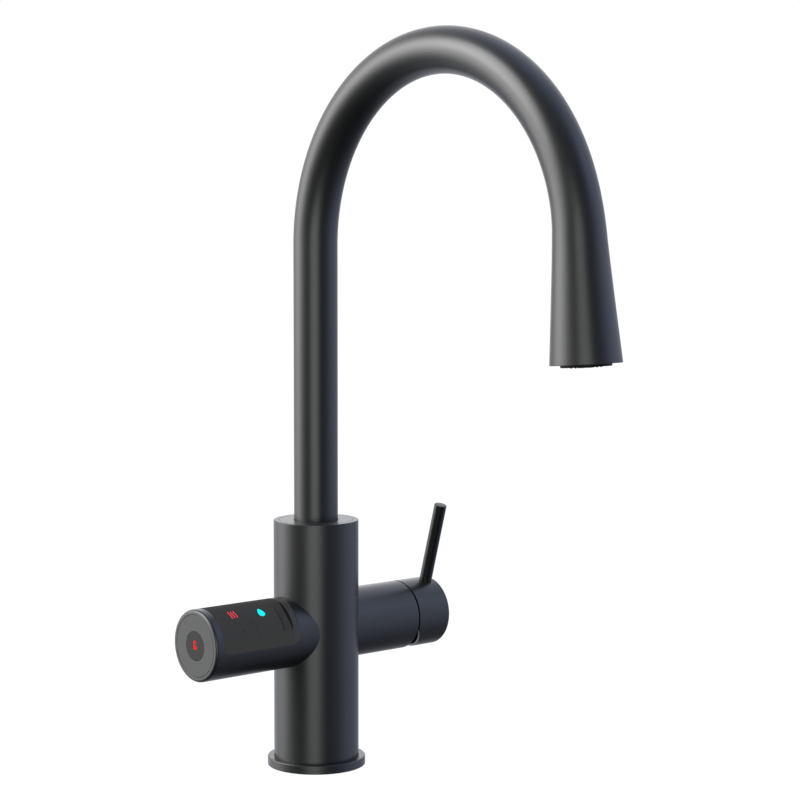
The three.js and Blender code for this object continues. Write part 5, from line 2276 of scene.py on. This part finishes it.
SOFTBOXES = (
    Softbox("key_softbox", Bearing(-100, 34), size=3.0, radiance=8.2),
    Softbox(
        "front_softbox", Bearing(-174, -1), size=3.1, radiance=3.2, colour=(0.93, 1.0, 0.96)
    ),
)
SURROUNDINGS = (
    Glare("wall_left", Bearing(-80, 12), 16.0, (7.4, 7.4, 7.4)),
    Glare("backdrop", Bearing(0, 24), 30.0, (1.45, 1.45, 1.48)),
    Glare("horizon", Bearing(0, 7), 10.0, (0.8, 0.8, 0.8)),
    Glare("table_glow", Bearing(-28, -29), 22.5, (0.72, 0.77, 0.9)),
    Glare("window_right", Bearing(87, 8), 27.5, (1.0, 1.12, 1.5)),
    Glare("window_high", Bearing(103, 35), 9.5, (0.67, 0.8, 1.25)),
    Glare("ceiling", Bearing(58, 74), 21.5, (0.57, 0.72, 1.15)),
)


@dataclass
class Studio:
    """Floor, surroundings, lights and camera.

    The camera's place is in metres, as are the floor's sizes. Its lens is in millimetres.
    """

    azimuth: float = math.radians(-38.899)
    distance: float = 1.28594
    height: float = 0.32755
    yaw: float = math.radians(2.15)
    pitch: float = math.radians(5.152)
    roll: float = math.radians(0.077)
    focal: float = 101.345
    sensor: float = 36.0
    floor_reach: float = 12.0
    floor_drop: float = 0.0003

    def build(self) -> None:
        """Adds everything to the scene."""
        self.floor()
        self.surroundings()
        for light in SOFTBOXES:
            light.build(self.behind)
        self.camera()
        bpy.context.scene.view_settings.view_transform = "Standard"

    @property
    def behind(self) -> float:
        """Heading from the camera to the tap, in radians from +X."""
        return self.azimuth + math.pi / 2

    def floor(self) -> None:
        """A plain pale floor. The tap's coat doesn't mirror it."""
        form = bmesh.new()
        bmesh.ops.create_grid(form, x_segments=4, y_segments=4, size=self.floor_reach)
        mesh = bpy.data.meshes.new("floor")
        form.to_mesh(mesh)
        form.free()
        floor = put_in_scene("floor", mesh)
        floor.location.z = -self.floor_drop
        floor.visible_glossy = False
        floor.visible_diffuse = False
        floor.visible_shadow = False
        shader = Shader("pale_floor")
        shader.set(
            Base_Color=(0.02, 0.02, 0.02, 1.0),
            Roughness=0.8,
            Specular_IOR_Level=0.0,
            Emission_Color=(1.0, 1.0, 1.0, 1.0),
            Emission_Strength=1.0,
        )
        mesh.materials.append(shader.material)

    def surroundings(self) -> None:
        """A dark room with soft bright areas, which the camera sees as white."""
        world = bpy.data.worlds.new("studio")
        bpy.context.scene.world = world
        world.use_nodes = True
        tree = world.node_tree
        tree.nodes.clear()

        def step(kind: str, operation: str, *values: object) -> bpy.types.NodeSocket:
            """Adds one step of arithmetic.

            Args:
                kind: The node's type name.
                operation: What it works out.
                *values: Links and constants, in the order of its inputs.

            Returns:
                The result.
            """
            node = tree.nodes.new(kind)
            node.operation = operation
            for index, value in enumerate(values):
                if isinstance(value, bpy.types.NodeSocket):
                    tree.links.new(value, node.inputs[index])
                else:
                    node.inputs[index].default_value = value
            return node.outputs["Value" if operation == "DOT_PRODUCT" else 0]

        heading = tree.nodes.new("ShaderNodeTexCoord").outputs["Generated"]
        total: bpy.types.NodeSocket | None = None
        for glare in SURROUNDINGS:
            aim = glare.place.toward(self.behind)
            facing = step("ShaderNodeVectorMath", "DOT_PRODUCT", heading, aim)
            sharpness = 1 / math.radians(glare.spread) ** 2
            fade = step("ShaderNodeMath", "MULTIPLY_ADD", facing, sharpness, -sharpness)
            bell = step("ShaderNodeMath", "EXPONENT", fade)
            light = step("ShaderNodeVectorMath", "MULTIPLY", bell, Vector(glare.colour))
            total = light if total is None else step("ShaderNodeVectorMath", "ADD", total, light)
        seen = tree.nodes.new("ShaderNodeLightPath").outputs["Is Camera Ray"]
        choice = tree.nodes.new("ShaderNodeMix")
        choice.data_type = "RGBA"
        choice.inputs["B"].default_value = (1.0, 1.0, 1.0, 1.0)
        background = tree.nodes.new("ShaderNodeBackground")
        output = tree.nodes.new("ShaderNodeOutputWorld")
        tree.links.new(seen, choice.inputs["Factor"])
        tree.links.new(total, choice.inputs["A"])
        tree.links.new(choice.outputs["Result"], background.inputs["Color"])
        tree.links.new(background.outputs["Background"], output.inputs["Surface"])

    def camera(self) -> None:
        """The photograph's viewpoint."""
        sine, cosine = math.sin(self.azimuth), math.cos(self.azimuth)
        forward = Vector((-sine, cosine, 0.0))
        across = Vector((cosine, sine, 0.0))
        level = forward * math.cos(self.yaw) + across * math.sin(self.yaw)
        look = level * math.cos(self.pitch) - Vector((0, 0, 1)) * math.sin(self.pitch)
        right = look.cross(Vector((0, 0, 1))).normalized()
        lens = bpy.data.cameras.new("photo_camera")
        lens.lens = self.focal
        lens.sensor_width = self.sensor
        camera = bpy.data.objects.new("photo_camera", lens)
        at = Vector((sine * self.distance, -cosine * self.distance, self.height))
        level_view = frame_of(right, right.cross(look), -look, at)
        camera.matrix_world = level_view @ Matrix.Rotation(self.roll, 4, "Z")
        bpy.context.scene.collection.objects.link(camera)
        bpy.context.scene.camera = camera


def main() -> None:
    """Builds the tap, dresses it and sets up the studio."""
    logging.basicConfig(level=logging.INFO, format="%(name)s: %(message)s")
    Column().build()
    Spout().build()
    MixingLever().build()
    for part in (PodShell(), TouchPanel(), PanelSigns(), PodEnd()):
        part.build()
    dress_carried_nodes()
    Studio().build()


if __name__ == "__main__":
    main()
